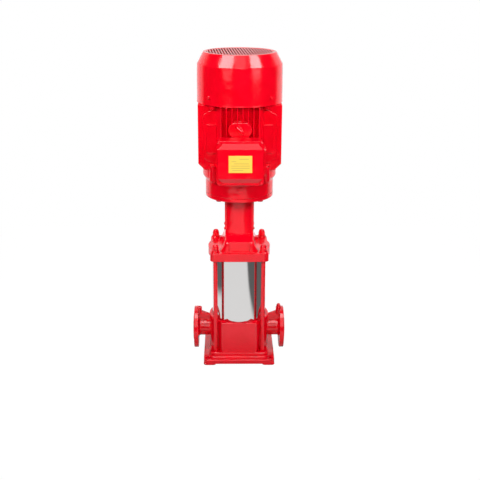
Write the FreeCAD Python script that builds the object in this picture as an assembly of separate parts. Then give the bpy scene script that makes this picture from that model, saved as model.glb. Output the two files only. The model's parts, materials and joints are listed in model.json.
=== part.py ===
import FreeCAD, Part
import math
import os

# Vertical multistage centrifugal pump with a flange motor on top.
# Millimetres. The shaft axis is +Z through the origin, which lies on the floor.
# The terminal box faces -Y, the suction port looks to -X and the discharge port to +X.

V = FreeCAD.Vector
UP = V(0, 0, 1)
ALONG_X = V(1, 0, 0)
ALONG_Y = V(0, 1, 0)
SIDES = (-1, 1)
CORNERS = [(-1, -1), (1, -1), (1, 1), (-1, 1)]
OVERRUN = 2.0
MARGIN = 1.0
NEAR = 0.01

# Play, steps and sinks inside the pump, where sink is how far a joined form reaches into its neighbour
bolt_play = 0.5
nut_dome_inset = 0.5
nut_corner_cut = 1.0
nut_dome_share = 0.8
nut_boss_sink = 5.0
plug_corner_cut = 0.6
shaft_passage = 2.0
screw_tip_gap = 0.5
seal_face_inset = 3.0
spider_hub_step = 3.0
spider_arm_sink = 2.0
vane_root_gap = 3.0
vane_tip_sink = 2.0
impeller_vane_inset = 0.5
spacer_top_gap = 6.0
nut_bottom_gap = 2.0
shaft_chamfer = 2.0
shaft_collar_rise = 3.0
shaft_collar_top_gap = 2.0

# Steps and sinks of the motor
shield_register_depth = 5.0
shield_register_wall = 8.0
shield_floor_above_bolts = 6.0
shield_slope_inset = 22.0
shield_slope_rise = 6.0
shield_cap_thickness = 4.0
seal_lip_gap = 1.5
frame_away = 10.0
pedestal_sink = 20.0
opening_sink = 30.0
bolt_tip_gap = 3.0
bolt_hole_gap = 2.0
cowl_post_length = 20.0
web_inset = 10.0
web_rise = 6.0
rear_cut_depth = 10.0
rear_bore_play = 6.0
rear_hub_play = 4.0
fan_seat_rise = 6.0
end_ring_step = 2.0
fan_hub_drop = 4.0
fan_blade_inset = 30.0
fan_blade_slope = 18.0

# Steps and sinks of the cowl and the terminal box
cowl_bend_shift = 0.6
cowl_top_shift = 0.2
cowl_hole_inset = 5.0
cowl_hole_length = 12.0
entry_sink = 4.0
entry_bore_inset = 10.0
entry_bore_length = 30.0
screw_head_play = 1.2
lid_screw_tip_gap = 2.0
block_ear_reach = 12.0
block_ear_thickness = 5.0
block_corner = 3.0

# Clearances
slip = 0.1
running = 0.05
wear_gap = 0.4
air_gap = 0.8
thread_gap = 0.05

# Base plate and feet
foot_pad_height = 5.0
foot_pad_half = 24.0
foot_pad_corner = 12.0
base_thickness = 17.0
base_rim = 25.0
base_corner = 22.0
base_edge_round = 5.0
foot_hole_half_spacing = 118.0
foot_hole_radius = 9.0

# Deck that carries the four tie rods
deck_height = 18.0
deck_rim = 22.0
deck_edge_round = 5.0
deck_foot_round = 6.0

# Pump casing
casing_height = 126.0
casing_lip = 12.0
casing_edge_round = 3.0
panel_half_width = 70.0
panel_lip = 6.5
panel_corner = 7.0
eye_clearance = 3.0
eye_floor_drop = 6.0
casing_wall = 8.0
chamber_floor = 10.0
chamber_lip = 5.0
ledge_thickness = 14.0
ledge_inset = 8.0
ledge_rib_count = 4

# Suction and discharge ports
port_centre_height = 102.5
port_reach = 180.0
port_bore_radius = 25.0
port_flange_radius = 82.5
port_flange_thickness = 20.0
port_edge_bevel = 1.5
raised_face_radius = 51.0
raised_face_height = 3.0
port_bolt_circle = 125.0
port_bolt_count = 4
port_bolt_radius = 9.0
neck_radius = 34.0
neck_round = 9.0
gusset_thickness = 12.0
gusset_high = 74.0
gusset_low = 56.0
gusset_sink = 4.0
gauge_boss_radius = 10.5
gauge_boss_rise = 2.5
gauge_boss_bite = 5.0
gauge_boss_offset = 7.5
gauge_boss_depth = 30.0
gauge_plug_radius = 6.6
gauge_plug_length = 12.0
gauge_plug_recess = 0.5
gauge_socket_depth = 6.0
gauge_plug_head = 9.0
gauge_plug_crown = 4.0
gauge_hex = 14.0
gauge_socket = 8.0

# Drain plug on the rear panel
plug_radius = 10.0
plug_depth = 16.0
plug_head_height = 9.0
plug_hex = 24.0
plug_washer_radius = 15.0
plug_washer_height = 2.0
drain_height = 62.0
drain_boss_rise = 3.0
drain_boss_rim = 3.0

# Outer sleeve
sleeve_gap = 14.0
sleeve_wall = 2.5
sleeve_engagement = 8.0
gasket_thickness = 3.0

# Tie rods
rod_gap = 4.2
rod_radius = 8.0
rod_thread_in_base = 24.0
rod_above_flange = 20.0
washer_radius = 15.0
washer_thickness = 3.0
rod_nut_hex = 24.0
rod_nut_wall = 13.0
rod_nut_dome = 12.0

# Motor bracket
bracket_flange_thickness = 33.0
bracket_flange_corner = 20.0
bracket_lip = 15.0
bracket_edge_round = 2.5
nut_boss_radius = 16.5
nut_boss_height = 3.0
neck_height = 203.0
neck_half_width = 51.5
neck_half_depth = 54.0
neck_corner = 10.0
neck_front_radius = 78.0
neck_front_inset = 1.5
neck_wall = 8.0
flare_height = 108.0
flare_sink = 5.0
flare_side_fade = 0.3
flare_shoulder = 0.44
flare_shoulder_round = 0.045
flare_shoulder_low = 0.3
flare_shoulder_high = 0.6
flare_steps_low = 5
flare_steps_shoulder = 10
flare_steps_high = 4
shoulder_height = 56.0
neck_overlap = 1.0
flare_half_width = 76.0
flare_half_depth = 100.0
flare_corner = 34.0
recess_half_width = 39.0
recess_height = 41.0
recess_sill = 3.0
recess_floor = 93.5
recess_corner = 5.0
window_half_width = 27.0
window_height = 112.0
window_corner = 10.0
window_sill = 78.0
top_flange_thickness = 14.0
top_flange_radius = 127.0
top_flange_round = 2.0
water_space_height = 17.0
water_space_width = 25.0

# Seal chamber in the bracket
bush_length = 18.0
bush_wall = 5.0
chamber_radius = 30.0
chamber_floor_above_bush = 4.0
seal_floor_height = 24.0
gland_radius = 42.0
gland_thickness = 8.0
gland_neck = 5.0
gland_screw_circle = 36.0
gland_screw_radius = 3.0
gland_screw_count = 4
gland_screw_head = 5.0
gland_screw_head_radius = 4.8
gland_screw_depth = 13.0
seat_radius = 25.0
seat_height = 9.0
head_radius = 24.0
head_height = 13.0
seal_face_height = 4.0

# Coupling guards over the side windows
guard_thickness = 2.0
guard_pad_rise = 1.5
guard_pad_rim = 2.5
guard_overlap = 8.0
guard_corner = 6.0
guard_screw_radius = 2.5
guard_screw_head_radius = 4.5
guard_screw_head = 3.0
guard_screw_inset = 4.5
guard_screw_depth = 6.0

# Pump shaft and stages
stage_count = 4
stage_radius = 88.0
stage_wall = 3.0
stage_web = 4.0
return_height = 14.5
guide_plate = 3.0
guide_radius = 66.0
return_vane_count = 6
return_vane_thickness = 3.0
pump_shaft_radius = 14.0
pump_shaft_end_below = 4.0
spider_arm_count = 3
spider_arm_thickness = 6.0
spider_arm_height = 12.0
spider_skirt = 16.0
spider_hub_wall = 4.0
spider_rim_depth = 6.0
impeller_radius = 62.0
impeller_eye_radius = 30.6
impeller_neck_wall = 3.0
impeller_neck = 6.0
impeller_neck_entry = 3.0
shroud = 2.5
vane_height = 10.0
vane_count = 5
vane_thickness = 3.0
vane_start_radius = 26.0
vane_bend_radius = 42.0
hub_radius = 20.0
hub_rise = 10.0
hub_top_gap = 5.0
spacer_radius = 19.0
impeller_nut_hex = 36.0
clamp_height = 17.0
clamp_inner = 58.0
clamp_wall = 8.0
clamp_slots = 6
clamp_slot_width = 30.0
clamp_land = 3.0

# Shaft coupling
coupling_radius = 36.0
coupling_bottom_gap = 7.0
coupling_top_gap = 18.0
coupling_split = 3.0
coupling_bevel = 4.0
coupling_bolt_radius = 4.0
coupling_bolt_head_radius = 6.5
coupling_bolt_head = 8.0
coupling_bolt_offset = 28.0
coupling_bolt_inset = 22.0
coupling_bolt_seat = 8.0
shaft_end_gap = 6.0

# Motor ends and frame
shaft_extension = 110.0
motor_shaft_radius = 21.0
motor_bolt_circle = 215.0
motor_bolt_radius = 6.0
motor_bolt_head_radius = 9.5
motor_bolt_head = 7.5
motor_bolt_depth = 22.0
spigot_radius = 90.0
spigot_height = 4.0
shield_height = 101.0
shield_rim_radius = 137.0
shield_rim_height = 34.0
shield_flare_height = 14.0
shield_wall = 8.0
shield_edge_round = 2.5
frame_length = 242.0
barrel_radius = 129.0
stator_radius = 121.0
fin_tip = 152.0
side_fin_tip = 151.0
fin_pitch = 19.3
fin_root_thickness = 8.0
fin_tip_thickness = 4.6
fin_start = 85.0
front_fin_count = 8
side_fin_count = 10
fin_bevel_start = 126.0
fin_bevel_height = 24.0
lug_place = 96.6
lug_radius = 14.0
lug_height = 39.0
frame_lug_height = 18.0
shield_bolt_radius = 5.0
shield_bolt_head = 7.0
shield_bolt_hex = 17.0
shield_bolt_spot_face = 10.5

# Cast pads on the corners of the frame
pad_inner = 84.0
pad_outer = 132.0
pad_face = 96.0
pad_root = 83.0
pad_bottom = 28.0
pad_height = 190.0
pad_bevel_run = 27.0
pad_bevel_rise = 17.0
step_outer = 119.0
step_face = 101.0
step_bottom = 64.0
step_height = 104.0

# Bearings
bearing_bore_radius = 22.5
bearing_radius = 50.0
bearing_width = 25.0
ball_radius = 8.7
ball_circle_radius = 36.25
ball_count = 8
land_inner = 30.3
land_outer = 42.2
drive_bearing_above_flange = 22.0
rear_bearing_above_frame = 6.0
cage_inner = 33.2
cage_outer = 39.4
cage_bottom = 3.2
cage_top = 10.5

# Stator, rotor, fan
core_length = 160.0
core_above_frame = 32.0
rotor_core_radius = 74.5
rotor_bore_radius = 30.0
winding_inner = 82.0
winding_outer = 114.0
winding_height = 26.0
winding_bevel = 8.0
end_ring_inner = 52.0
end_ring_height = 9.0
fan_seat_radius = 19.0
fan_hub_radius = 27.0
fan_radius = 118.0
fan_disc = 4.0
fan_height = 38.0
fan_blades = 8
fan_blade_thickness = 3.0
fan_above_shield = 26.0
rear_shield_thickness = 36.0
rear_shield_wall = 9.0
rear_hub_radius = 60.0
cowl_lug_radius = 10.0
cowl_lug_place = 28.0

# Fan cowl
cowl_radius = 156.5
cowl_wall = 2.0
cowl_register = 0.5
cowl_height = 178.0
cowl_overlap = 4.0
cowl_shoulder = 135.0
cowl_top_radius = 132.0
cowl_bend = 6.0
grille_pitch = 8.3
grille_slot = 4.0
grille_radius = 121.0
cowl_screw_radius = 3.0
cowl_screw_head_radius = 5.5
cowl_screw_head = 3.5
cowl_screw_length = 14.0

# Lifting eyebolt
eye_pad_half = 43.0
eye_pad_face = 150.0
eye_pad_gap = 9.5
eye_pad_height = 56.0
eye_pad_corner = 27.0
eye_pad_round = 4.0
eye_pad_sink = 5.0
eye_bolt_above_pad = 34.0
eye_ring_radius = 17.5
eye_wire = 5.0
eye_collar_radius = 10.0
eye_collar = 6.0
eye_shank_radius = 5.0
eye_shank = 17.0
eye_turn = 45.0

# Terminal box
box_above_frame = 61.5
box_half_width = 80.0
box_half_height = 74.5
box_back = 164.0
box_depth = 74.0
box_wall = 4.5
box_corner = 12.0
pedestal_half_width = 58.0
pedestal_half_height = 58.0
pedestal_inner = 40.0
box_gasket = 2.0
lid_half_width = 82.5
lid_half_height = 77.5
lid_plate = 6.0
lid_rise = 11.0
lid_corner = 10.0
lid_side_rim = 4.0
lid_end_rim = 8.5
lid_notch = 18.0
lid_bevel = 17.0
lid_screw_inset = 9.0
lid_screw_radius = 3.0
lid_post_wall = 4.5
lid_screw_head_radius = 5.5
lid_screw_head = 4.0
lid_screw_depth = 16.0
entry_half_width = 27.0
entry_half_height = 51.0
entry_proud = 9.0
entry_corner = 12.0
entry_radius = 16.0
entry_setback = 32.0
nameplate_half_width = 40.5
nameplate_half_height = 30.0
nameplate_thickness = 1.0
nameplate_corner = 3.0
block_half_width = 36.0
block_half_height = 22.0
block_thickness = 16.0
stud_radius = 3.0
stud_rise = 14.0
stud_nut_hex = 10.0
stud_nut = 4.0
stud_pitch = 24.0
stud_row = 22.0

# Sizes that follow from the row of stages
eye_radius = impeller_eye_radius + wear_gap + eye_clearance
sleeve_radius = stage_radius + sleeve_gap + sleeve_wall
casing_radius = sleeve_radius + casing_lip
panel_reach = sleeve_radius + panel_lip
chamber_outer = sleeve_radius - sleeve_wall - chamber_lip
rod_half_spacing = (casing_radius + rod_gap + rod_radius) * math.sqrt(0.5)
deck_half = rod_half_spacing + deck_rim
base_half = deck_half + base_rim
bracket_flange_half = rod_half_spacing + bracket_flange_corner
bracket_disc_radius = sleeve_radius + bracket_lip
impeller_height = impeller_neck + shroud + vane_height + shroud + hub_rise
stage_pitch = impeller_height + hub_top_gap + guide_plate + return_height + stage_web
sleeve_showing = spider_rim_depth + stage_count * stage_pitch + clamp_height

# Heights up the machine
z_plate = foot_pad_height
z_deck = z_plate + base_thickness
z_seat = z_deck + deck_height
z_casing = z_seat + casing_height
z_bracket = z_casing + sleeve_showing
z_flange = z_bracket + bracket_flange_thickness
z_neck = z_flange + neck_height
z_motor = z_neck + top_flange_thickness
z_frame = z_motor + shield_height
z_rear = z_frame + frame_length
z_cowl = z_rear - cowl_overlap
z_top = z_cowl + cowl_height
z_chamber = z_flange + seal_floor_height
z_stack = z_casing + spider_rim_depth
z_stack_top = z_stack + stage_count * stage_pitch
z_chamber_floor = z_seat + chamber_floor
z_gauge = port_centre_height + port_flange_radius + gauge_boss_rise
z_water_top = z_bracket + water_space_height
z_coupling = z_chamber + gland_thickness + coupling_bottom_gap
z_coupling_top = z_neck - coupling_top_gap
z_motor_shaft = z_motor - shaft_extension
z_pump_shaft_top = z_motor_shaft - shaft_end_gap
z_drive_bearing = z_motor + drive_bearing_above_flange
z_rear_bearing = z_rear + rear_bearing_above_frame
z_core = z_frame + core_above_frame
z_fan = z_rear + rear_shield_thickness + fan_above_shield
box_centre_height = z_frame + box_above_frame
z_eye_pad = box_centre_height + pedestal_half_height + eye_pad_gap
z_eye_bolt = z_eye_pad + eye_bolt_above_pad
gasket_seat = sleeve_engagement + gasket_thickness
guard_seat = neck_half_width + guard_pad_rise


def disc(radius, low, high, x=0.0, y=0.0):
    """Upright round bar between two heights."""
    return Part.makeCylinder(radius, high - low, V(x, y, low), UP)


def bar(radius, start, direction, length):
    """Round bar from a point along a direction."""
    return Part.makeCylinder(radius, length, start, direction)


def ring(inner, outer, low, high, x=0.0, y=0.0):
    """Upright tube between two heights."""
    return disc(outer, low, high, x, y).cut(disc(inner, low - MARGIN, high + MARGIN, x, y))


def slab(x_low, x_high, y_low, y_high, z_low, z_high):
    """Block between two corners."""
    return Part.makeBox(x_high - x_low, y_high - y_low, z_high - z_low, V(x_low, y_low, z_low))


def rounded_wire(half_x, half_y, corner, z, x=0.0, y=0.0):
    """Level rectangle with round corners."""
    edges = []
    last = None
    for number, (side_x, side_y) in enumerate([(1, 1), (-1, 1), (-1, -1), (1, -1)]):
        centre = V(x + side_x * (half_x - corner), y + side_y * (half_y - corner), z)
        start = math.radians(90 * number)
        arc = Part.ArcOfCircle(Part.Circle(centre, UP, corner), start, start + math.pi / 2)
        if last is not None:
            edges.append(Part.makeLine(last, arc.StartPoint))
        edges.append(arc.toShape())
        last = arc.EndPoint
    edges.append(Part.makeLine(last, edges[0].Vertexes[0].Point))
    return Part.Wire(Part.__sortEdges__(edges))


def rounded_plate(half_x, half_y, corner, low, high, x=0.0, y=0.0):
    """Flat plate with round corners between two heights."""
    return Part.Face(rounded_wire(half_x, half_y, corner, low, x, y)).extrude(V(0, 0, high - low))


def facing_front(plate, centre_z):
    """Stand a level plate up so that its top looks to -Y and its middle is at a height."""
    plate = plate.copy()
    plate.rotate(V(0, 0, 0), ALONG_X, 90)
    plate.translate(V(0, 0, centre_z))
    return plate


def prism(points, depth):
    """Extrude a closed outline of 3-D points along a vector."""
    return Part.Face(Part.makePolygon(list(points) + [points[0]])).extrude(depth)


def turned(points):
    """Turn an outline of (radius, height) points about the shaft axis."""
    corners = [V(radius, 0, height) for radius, height in points]
    face = Part.Face(Part.makePolygon(corners + [corners[0]]))
    return face.revolve(V(0, 0, 0), UP, 360)


def hex_bar(across_flats, low, high, x=0.0, y=0.0):
    """Upright hexagon bar."""
    reach = across_flats / math.sqrt(3)
    points = []
    for number in range(6):
        angle = math.radians(60 * number)
        points.append(V(x + reach * math.cos(angle), y + reach * math.sin(angle), low))
    return prism(points, V(0, 0, high - low))


def turned_about_axis(shape, degrees):
    """Copy turned about the shaft axis."""
    copy = shape.copy()
    copy.rotate(V(0, 0, 0), UP, degrees)
    return copy


def raised(shape, rise):
    """Copy lifted along the shaft axis."""
    copy = shape.copy()
    copy.translate(V(0, 0, rise))
    return copy


def joined(shapes):
    """One solid from several that touch or cross."""
    first = shapes[0]
    return first.fuse(shapes[1:]).removeSplitter() if len(shapes) > 1 else first


def rounded_edges(shape, radius, chosen):
    """Round the edges whose middle point passes a test."""
    edges = []
    for edge in shape.Edges:
        if chosen(edge.CenterOfMass, edge):
            edges.append(edge)
    return shape.makeFillet(radius, edges)


def at_height(height):
    """Test for edges that lie level at a height."""
    def chosen(middle, edge):
        box = edge.BoundBox
        return abs(box.ZMin - height) < NEAR and abs(box.ZMax - height) < NEAR
    return chosen


def at_heights(low, high):
    """Picks the level edges at either of two heights."""
    return lambda middle, edge: at_height(low)(middle, edge) or at_height(high)(middle, edge)


def reach(edge):
    """Greatest distance of an edge from the shaft axis along X or Y."""
    box = edge.BoundBox
    return max(abs(box.XMin), abs(box.XMax), abs(box.YMin), abs(box.YMax))


def foot():
    """Base plate on four corner pads, with the rounded deck that holds the tie rods."""
    plate = rounded_plate(base_half, base_half, base_corner, z_plate, z_deck)
    deck = rounded_plate(deck_half, deck_half, deck_rim, z_deck, z_seat)
    body = plate.fuse(deck).removeSplitter()

    level = at_height(z_deck)
    halfway = (base_half + deck_half) / 2
    for inside, radius in ((True, deck_foot_round), (False, base_edge_round)):
        body = rounded_edges(body, radius, lambda middle, edge:
                             level(middle,
                                   edge) and (edge.BoundBox.XLength > 1 or edge.BoundBox.YLength > 1)
                             and (reach(edge) < halfway) == inside)
    body = rounded_edges(body, deck_edge_round, at_height(z_seat))
    pads = []
    for side_x, side_y in CORNERS:
        middle = base_half - foot_pad_half
        pads.append(rounded_plate(foot_pad_half, foot_pad_half, foot_pad_corner, 0, z_plate,
                                  side_x * middle, side_y * middle))
    return [body] + pads


def port(side):
    """Pipe neck and flange of one port, turned about the port axis."""
    inner_end = chamber_outer
    flange_back = port_reach - port_flange_thickness
    face = port_reach - raised_face_height
    rim = port_flange_radius
    corner_mid = neck_round * (1 - math.sqrt(0.5))
    points = [(inner_end, 0), (inner_end, neck_radius), (flange_back - neck_round, neck_radius)]
    after = [(flange_back, neck_radius + neck_round), (flange_back, rim - port_edge_bevel),
             (flange_back + port_edge_bevel, rim), (face - port_edge_bevel, rim),
             (face, rim - port_edge_bevel), (face, raised_face_radius),
             (port_reach, raised_face_radius), (port_reach, 0)]
    place = [V(x, 0, r) for x, r in points]
    place_after = [V(x, 0, r) for x, r in after]
    middle = V(flange_back - corner_mid, 0, neck_radius + corner_mid)
    edges = []
    for start, end in zip(place[:-1], place[1:]):
        edges.append(Part.makeLine(start, end))
    edges.append(Part.Arc(place[-1], middle, place_after[0]).toShape())
    for start, end in zip(place_after[:-1], place_after[1:]):
        edges.append(Part.makeLine(start, end))
    edges.append(Part.makeLine(place_after[-1], place[0]))
    body = Part.Face(Part.Wire(edges)).revolve(V(0, 0, 0), ALONG_X, 360)
    if side < 0:
        body.rotate(V(0, 0, 0), UP, 180)
    return raised(body, port_centre_height)


def gusset(side):
    """Upright rib between the port flange and the casing, over the pipe neck."""
    flange_back = port_reach - port_flange_thickness + MARGIN
    root = casing_radius - gusset_sink
    half = gusset_thickness / 2
    low = port_centre_height
    points = [V(side * root, -half, low), V(side * flange_back, -half, low),
              V(side * flange_back, -half, low + gusset_high),
              V(side * casing_radius, -half, low + gusset_low),
              V(side * root, -half, low + gusset_low)]
    return prism(points, V(0, gusset_thickness, 0))


def gauge_place(side):
    """Distance of a gauge boss from the shaft axis, behind the port flange."""
    return side * (port_reach - port_flange_thickness - gauge_boss_offset + gauge_boss_bite)


def gauge_boss(side):
    """Tapped boss for a pressure gauge at the top of the flange."""
    return disc(gauge_boss_radius, z_gauge - gauge_boss_depth, z_gauge, gauge_place(side), 0)


def port_cuts(side):
    """Bore, bolt holes and gauge tapping of one port."""
    cuts = []
    out = V(side, 0, 0)
    for number in range(port_bolt_count):
        angle = math.radians(360 / port_bolt_count * (number + 0.5))
        y = port_bolt_circle / 2 * math.cos(angle)
        z = port_centre_height + port_bolt_circle / 2 * math.sin(angle)
        start = V(side * (port_reach - port_flange_thickness - OVERRUN), y, z)
        cuts.append(bar(port_bolt_radius, start, out, port_flange_thickness + 2 * OVERRUN))
    low = z_gauge - gauge_plug_length - OVERRUN
    cuts.append(disc(gauge_plug_radius + thread_gap, low, z_gauge + OVERRUN, gauge_place(side), 0))
    return cuts


def water_ways():
    """Suction passage up into the eye, and the ring chamber round it that opens into the discharge port."""
    centre = V(0, 0, port_centre_height)
    suction = bar(port_bore_radius, centre, V(-1, 0, 0), port_reach + OVERRUN)
    floor = port_centre_height - port_bore_radius - eye_floor_drop
    eye = disc(eye_radius, floor, z_casing + OVERRUN)
    eye = rounded_edges(eye, eye_radius / 4, at_height(floor))
    ledge_low = z_casing - ledge_thickness
    chamber = disc(chamber_outer, z_chamber_floor, z_casing + OVERRUN)
    column = disc(eye_radius + casing_wall, z_chamber_floor - MARGIN, ledge_low + MARGIN)
    ledge = disc(stage_radius - ledge_inset, ledge_low, z_casing + 2 * OVERRUN)
    tube = bar(port_bore_radius + casing_wall, centre, V(-1, 0, 0), casing_radius)
    chamber = chamber.cut([column, ledge, tube])
    discharge = bar(port_bore_radius, V(chamber_outer / 2, 0, port_centre_height), ALONG_X, port_reach)
    return [suction, eye, chamber, discharge]


def ledge_ribs():
    """Ribs that carry the ledge under the stages, from the column out to the wall of the casing."""
    ribs = []
    low = z_casing - ledge_thickness
    for number in range(ledge_rib_count):
        rib = slab(eye_radius + MARGIN, chamber_outer + MARGIN, -casing_wall / 2, casing_wall / 2, low,
                   z_casing - chamber_lip)
        ribs.append(turned_about_axis(rib, 45 + 360 / ledge_rib_count * number))
    return ribs


def pump_casing():
    """Cast casing: foot, hollow body, two in-line ports, water ways and seats."""
    body = disc(casing_radius, z_deck, z_casing)
    body = rounded_edges(body, casing_edge_round, at_height(z_casing))
    panels = rounded_plate(panel_half_width, panel_reach, panel_corner, z_deck, z_casing)
    panels = rounded_edges(panels, casing_edge_round, at_height(z_casing))
    flats = slab(-casing_radius, casing_radius, -panel_reach, panel_reach, z_deck, z_casing)
    body = body.common(flats)
    drain_face = panel_reach + drain_boss_rise
    drain_boss = bar(plug_washer_radius + drain_boss_rim, V(0, chamber_outer + MARGIN, drain_height),
                     ALONG_Y,
                     drain_face - chamber_outer - MARGIN)
    shapes = foot() + [body, panels, drain_boss]
    for side in SIDES:
        shapes += [port(side), gusset(side), gauge_boss(side)]
    casing = shapes[0].fuse(shapes[1:]).cut(water_ways()).fuse(ledge_ribs())
    cuts = []
    for side in SIDES:
        cuts += port_cuts(side)
    groove_low = z_casing - gasket_seat
    cuts.append(ring(sleeve_radius - sleeve_wall - slip, sleeve_radius + slip, groove_low,
                     z_casing + OVERRUN))
    for side_x, side_y in CORNERS:
        cuts.append(disc(rod_radius + thread_gap, z_seat - rod_thread_in_base, z_seat + OVERRUN,
                         side_x * rod_half_spacing, side_y * rod_half_spacing))
        cuts.append(disc(foot_hole_radius, -OVERRUN, z_deck + OVERRUN,
                         side_x * foot_hole_half_spacing, side_y * foot_hole_half_spacing))
    cuts.append(bar(plug_radius + thread_gap, V(0, chamber_outer - OVERRUN, drain_height), ALONG_Y,
                    drain_face - chamber_outer + 2 * OVERRUN))
    return casing.cut(cuts)


def gauge_plugs():
    """Left gauge tapping holds a socket plug, right one a hexagon plug that stands up."""
    low = z_gauge - gauge_plug_length
    head = z_gauge + gauge_plug_head
    left = disc(gauge_plug_radius, low, z_gauge - gauge_plug_recess, gauge_place(-1), 0)
    left = left.cut(hex_bar(gauge_socket, z_gauge - gauge_socket_depth, z_gauge + OVERRUN, gauge_place(-1),
                            0))
    right = disc(gauge_plug_radius, low, z_gauge + MARGIN, gauge_place(1), 0)
    crown = disc(gauge_plug_radius - MARGIN, z_gauge, head + gauge_plug_crown, gauge_place(1), 0)
    right = right.fuse([hex_bar(gauge_hex, z_gauge, head, gauge_place(1), 0), crown])
    return [left, right.removeSplitter()]


def screw_plug():
    """Hexagon plug along +Z with its sealing face at height zero."""
    thread = disc(plug_radius, -plug_depth + MARGIN, plug_washer_height)
    washer = disc(plug_washer_radius, 0, plug_washer_height)
    head = hex_bar(plug_hex, plug_washer_height, plug_washer_height + plug_head_height)
    crown = disc(plug_hex / 2 + plug_corner_cut, plug_washer_height, plug_washer_height + plug_head_height)
    return thread.fuse([washer, head.common(crown)]).removeSplitter()


def drain_plug():
    """Drain plug on the rear of the casing."""
    plug = screw_plug()
    plug.rotate(V(0, 0, 0), ALONG_X, -90)
    plug.translate(V(0, panel_reach + drain_boss_rise, drain_height))
    return plug


def outer_sleeve():
    """Stainless tube between casing and bracket."""
    return ring(sleeve_radius - sleeve_wall, sleeve_radius, z_casing - sleeve_engagement,
                z_bracket + sleeve_engagement)


def sleeve_gaskets():
    """Ring gaskets at both ends of the sleeve."""
    inner = sleeve_radius - sleeve_wall
    lower = ring(inner, sleeve_radius, z_casing - gasket_seat, z_casing - sleeve_engagement)
    upper = ring(inner, sleeve_radius, z_bracket + sleeve_engagement, z_bracket + gasket_seat)
    return [lower, upper]


def tie_rods():
    """Four rods screwed into the deck."""
    top = z_flange + nut_boss_height + washer_thickness + rod_above_flange
    rods = []
    for side_x, side_y in CORNERS:
        rods.append(disc(rod_radius, z_seat - rod_thread_in_base, top,
                         side_x * rod_half_spacing, side_y * rod_half_spacing))
    return rods


def tie_rod_washers():
    """Plain washers under the cap nuts."""
    low = z_flange + nut_boss_height
    washers = []
    for side_x, side_y in CORNERS:
        washers.append(ring(rod_radius + slip, washer_radius, low, low + washer_thickness,
                            side_x * rod_half_spacing, side_y * rod_half_spacing))
    return washers


def tie_rod_nuts():
    """Domed cap nuts on the rods."""
    low = z_flange + nut_boss_height + washer_thickness
    dome_radius = rod_nut_hex / 2 - nut_dome_inset
    nuts = []
    for side_x, side_y in CORNERS:
        x = side_x * rod_half_spacing
        y = side_y * rod_half_spacing
        nut = hex_bar(rod_nut_hex, low, low + rod_nut_wall, x, y)
        nut = nut.common(disc(rod_nut_hex / 2 + nut_corner_cut, low, low + rod_nut_wall, x, y))
        dome = disc(dome_radius, low, low + rod_nut_wall + rod_nut_dome, x, y)
        dome = rounded_edges(dome, dome_radius * nut_dome_share,
                             at_height(low + rod_nut_wall + rod_nut_dome))
        hole = disc(rod_radius + thread_gap, low - MARGIN, low + rod_above_flange + slip, x, y)
        nuts.append(nut.fuse(dome).removeSplitter().cut(hole))
    return nuts


def flare_levels():
    """Levels of the flare's sections as shares of its height, closer together round its shoulder."""
    low = [flare_shoulder_low * number / flare_steps_low for number in range(flare_steps_low)]
    span = flare_shoulder_high - flare_shoulder_low
    middle = [flare_shoulder_low + span * number / flare_steps_shoulder for number in range(flare_steps_shoulder)]
    rest = 1 - flare_shoulder_high
    high = [flare_shoulder_high + rest * number / flare_steps_high for number in range(flare_steps_high + 1)]
    return low + middle + high


def flare_reach(share):
    """What is left of the flare's reach at a share of its height, sideways and to the front."""
    sideways = (1 - share) * math.exp(-share / flare_side_fade)
    forward = 1 / (1 + math.exp((share - flare_shoulder) / flare_shoulder_round))
    return sideways, forward


def bracket_neck():
    """Neck of the bracket: round-cornered box that flares down onto its flange."""
    wires = []
    for share in flare_levels():
        wide, deep = flare_reach(share)
        half_x = neck_half_width + (flare_half_width - neck_half_width) * wide
        half_y = neck_half_depth + (flare_half_depth - neck_half_depth) * deep
        corner = neck_corner + (flare_corner - neck_corner) * wide
        wires.append(rounded_wire(half_x, half_y, corner, z_flange + flare_height * share))
    flare = Part.makeLoft(wires, True, True)
    foot_sink = rounded_plate(flare_half_width, flare_half_depth, flare_corner, z_flange - flare_sink,
                              z_flange)
    stem = rounded_plate(neck_half_width, neck_half_depth, neck_corner, z_flange + flare_height,
                         z_neck + neck_overlap)
    shoulder = z_flange + shoulder_height
    around = flare_half_depth + OVERRUN
    corners = slab(-around, around, -around, around, shoulder, z_neck + OVERRUN)
    corners = corners.cut(barrel_section(neck_front_radius, shoulder - OVERRUN, z_neck + 2 * OVERRUN))
    return [foot_sink, flare.cut(corners), stem.cut(corners)]


def barrel_section(radius, low, high):
    """What two overlapping discs share: curved in front and behind, as the neck is."""
    offset = neck_front_radius - neck_half_depth + neck_front_inset
    return disc(radius, low, high, 0, offset).common(disc(radius, low, high, 0, -offset))


def side_window(half_width, low, high, corner, x_low, x_high):
    """Round-cornered upright plate seen from the side."""
    plate = rounded_plate((high - low) / 2, half_width, corner, x_low, x_high)
    plate.rotate(V(0, 0, 0), ALONG_Y, 90)
    plate.translate(V(0, 0, (low + high) / 2))
    return plate


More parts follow.
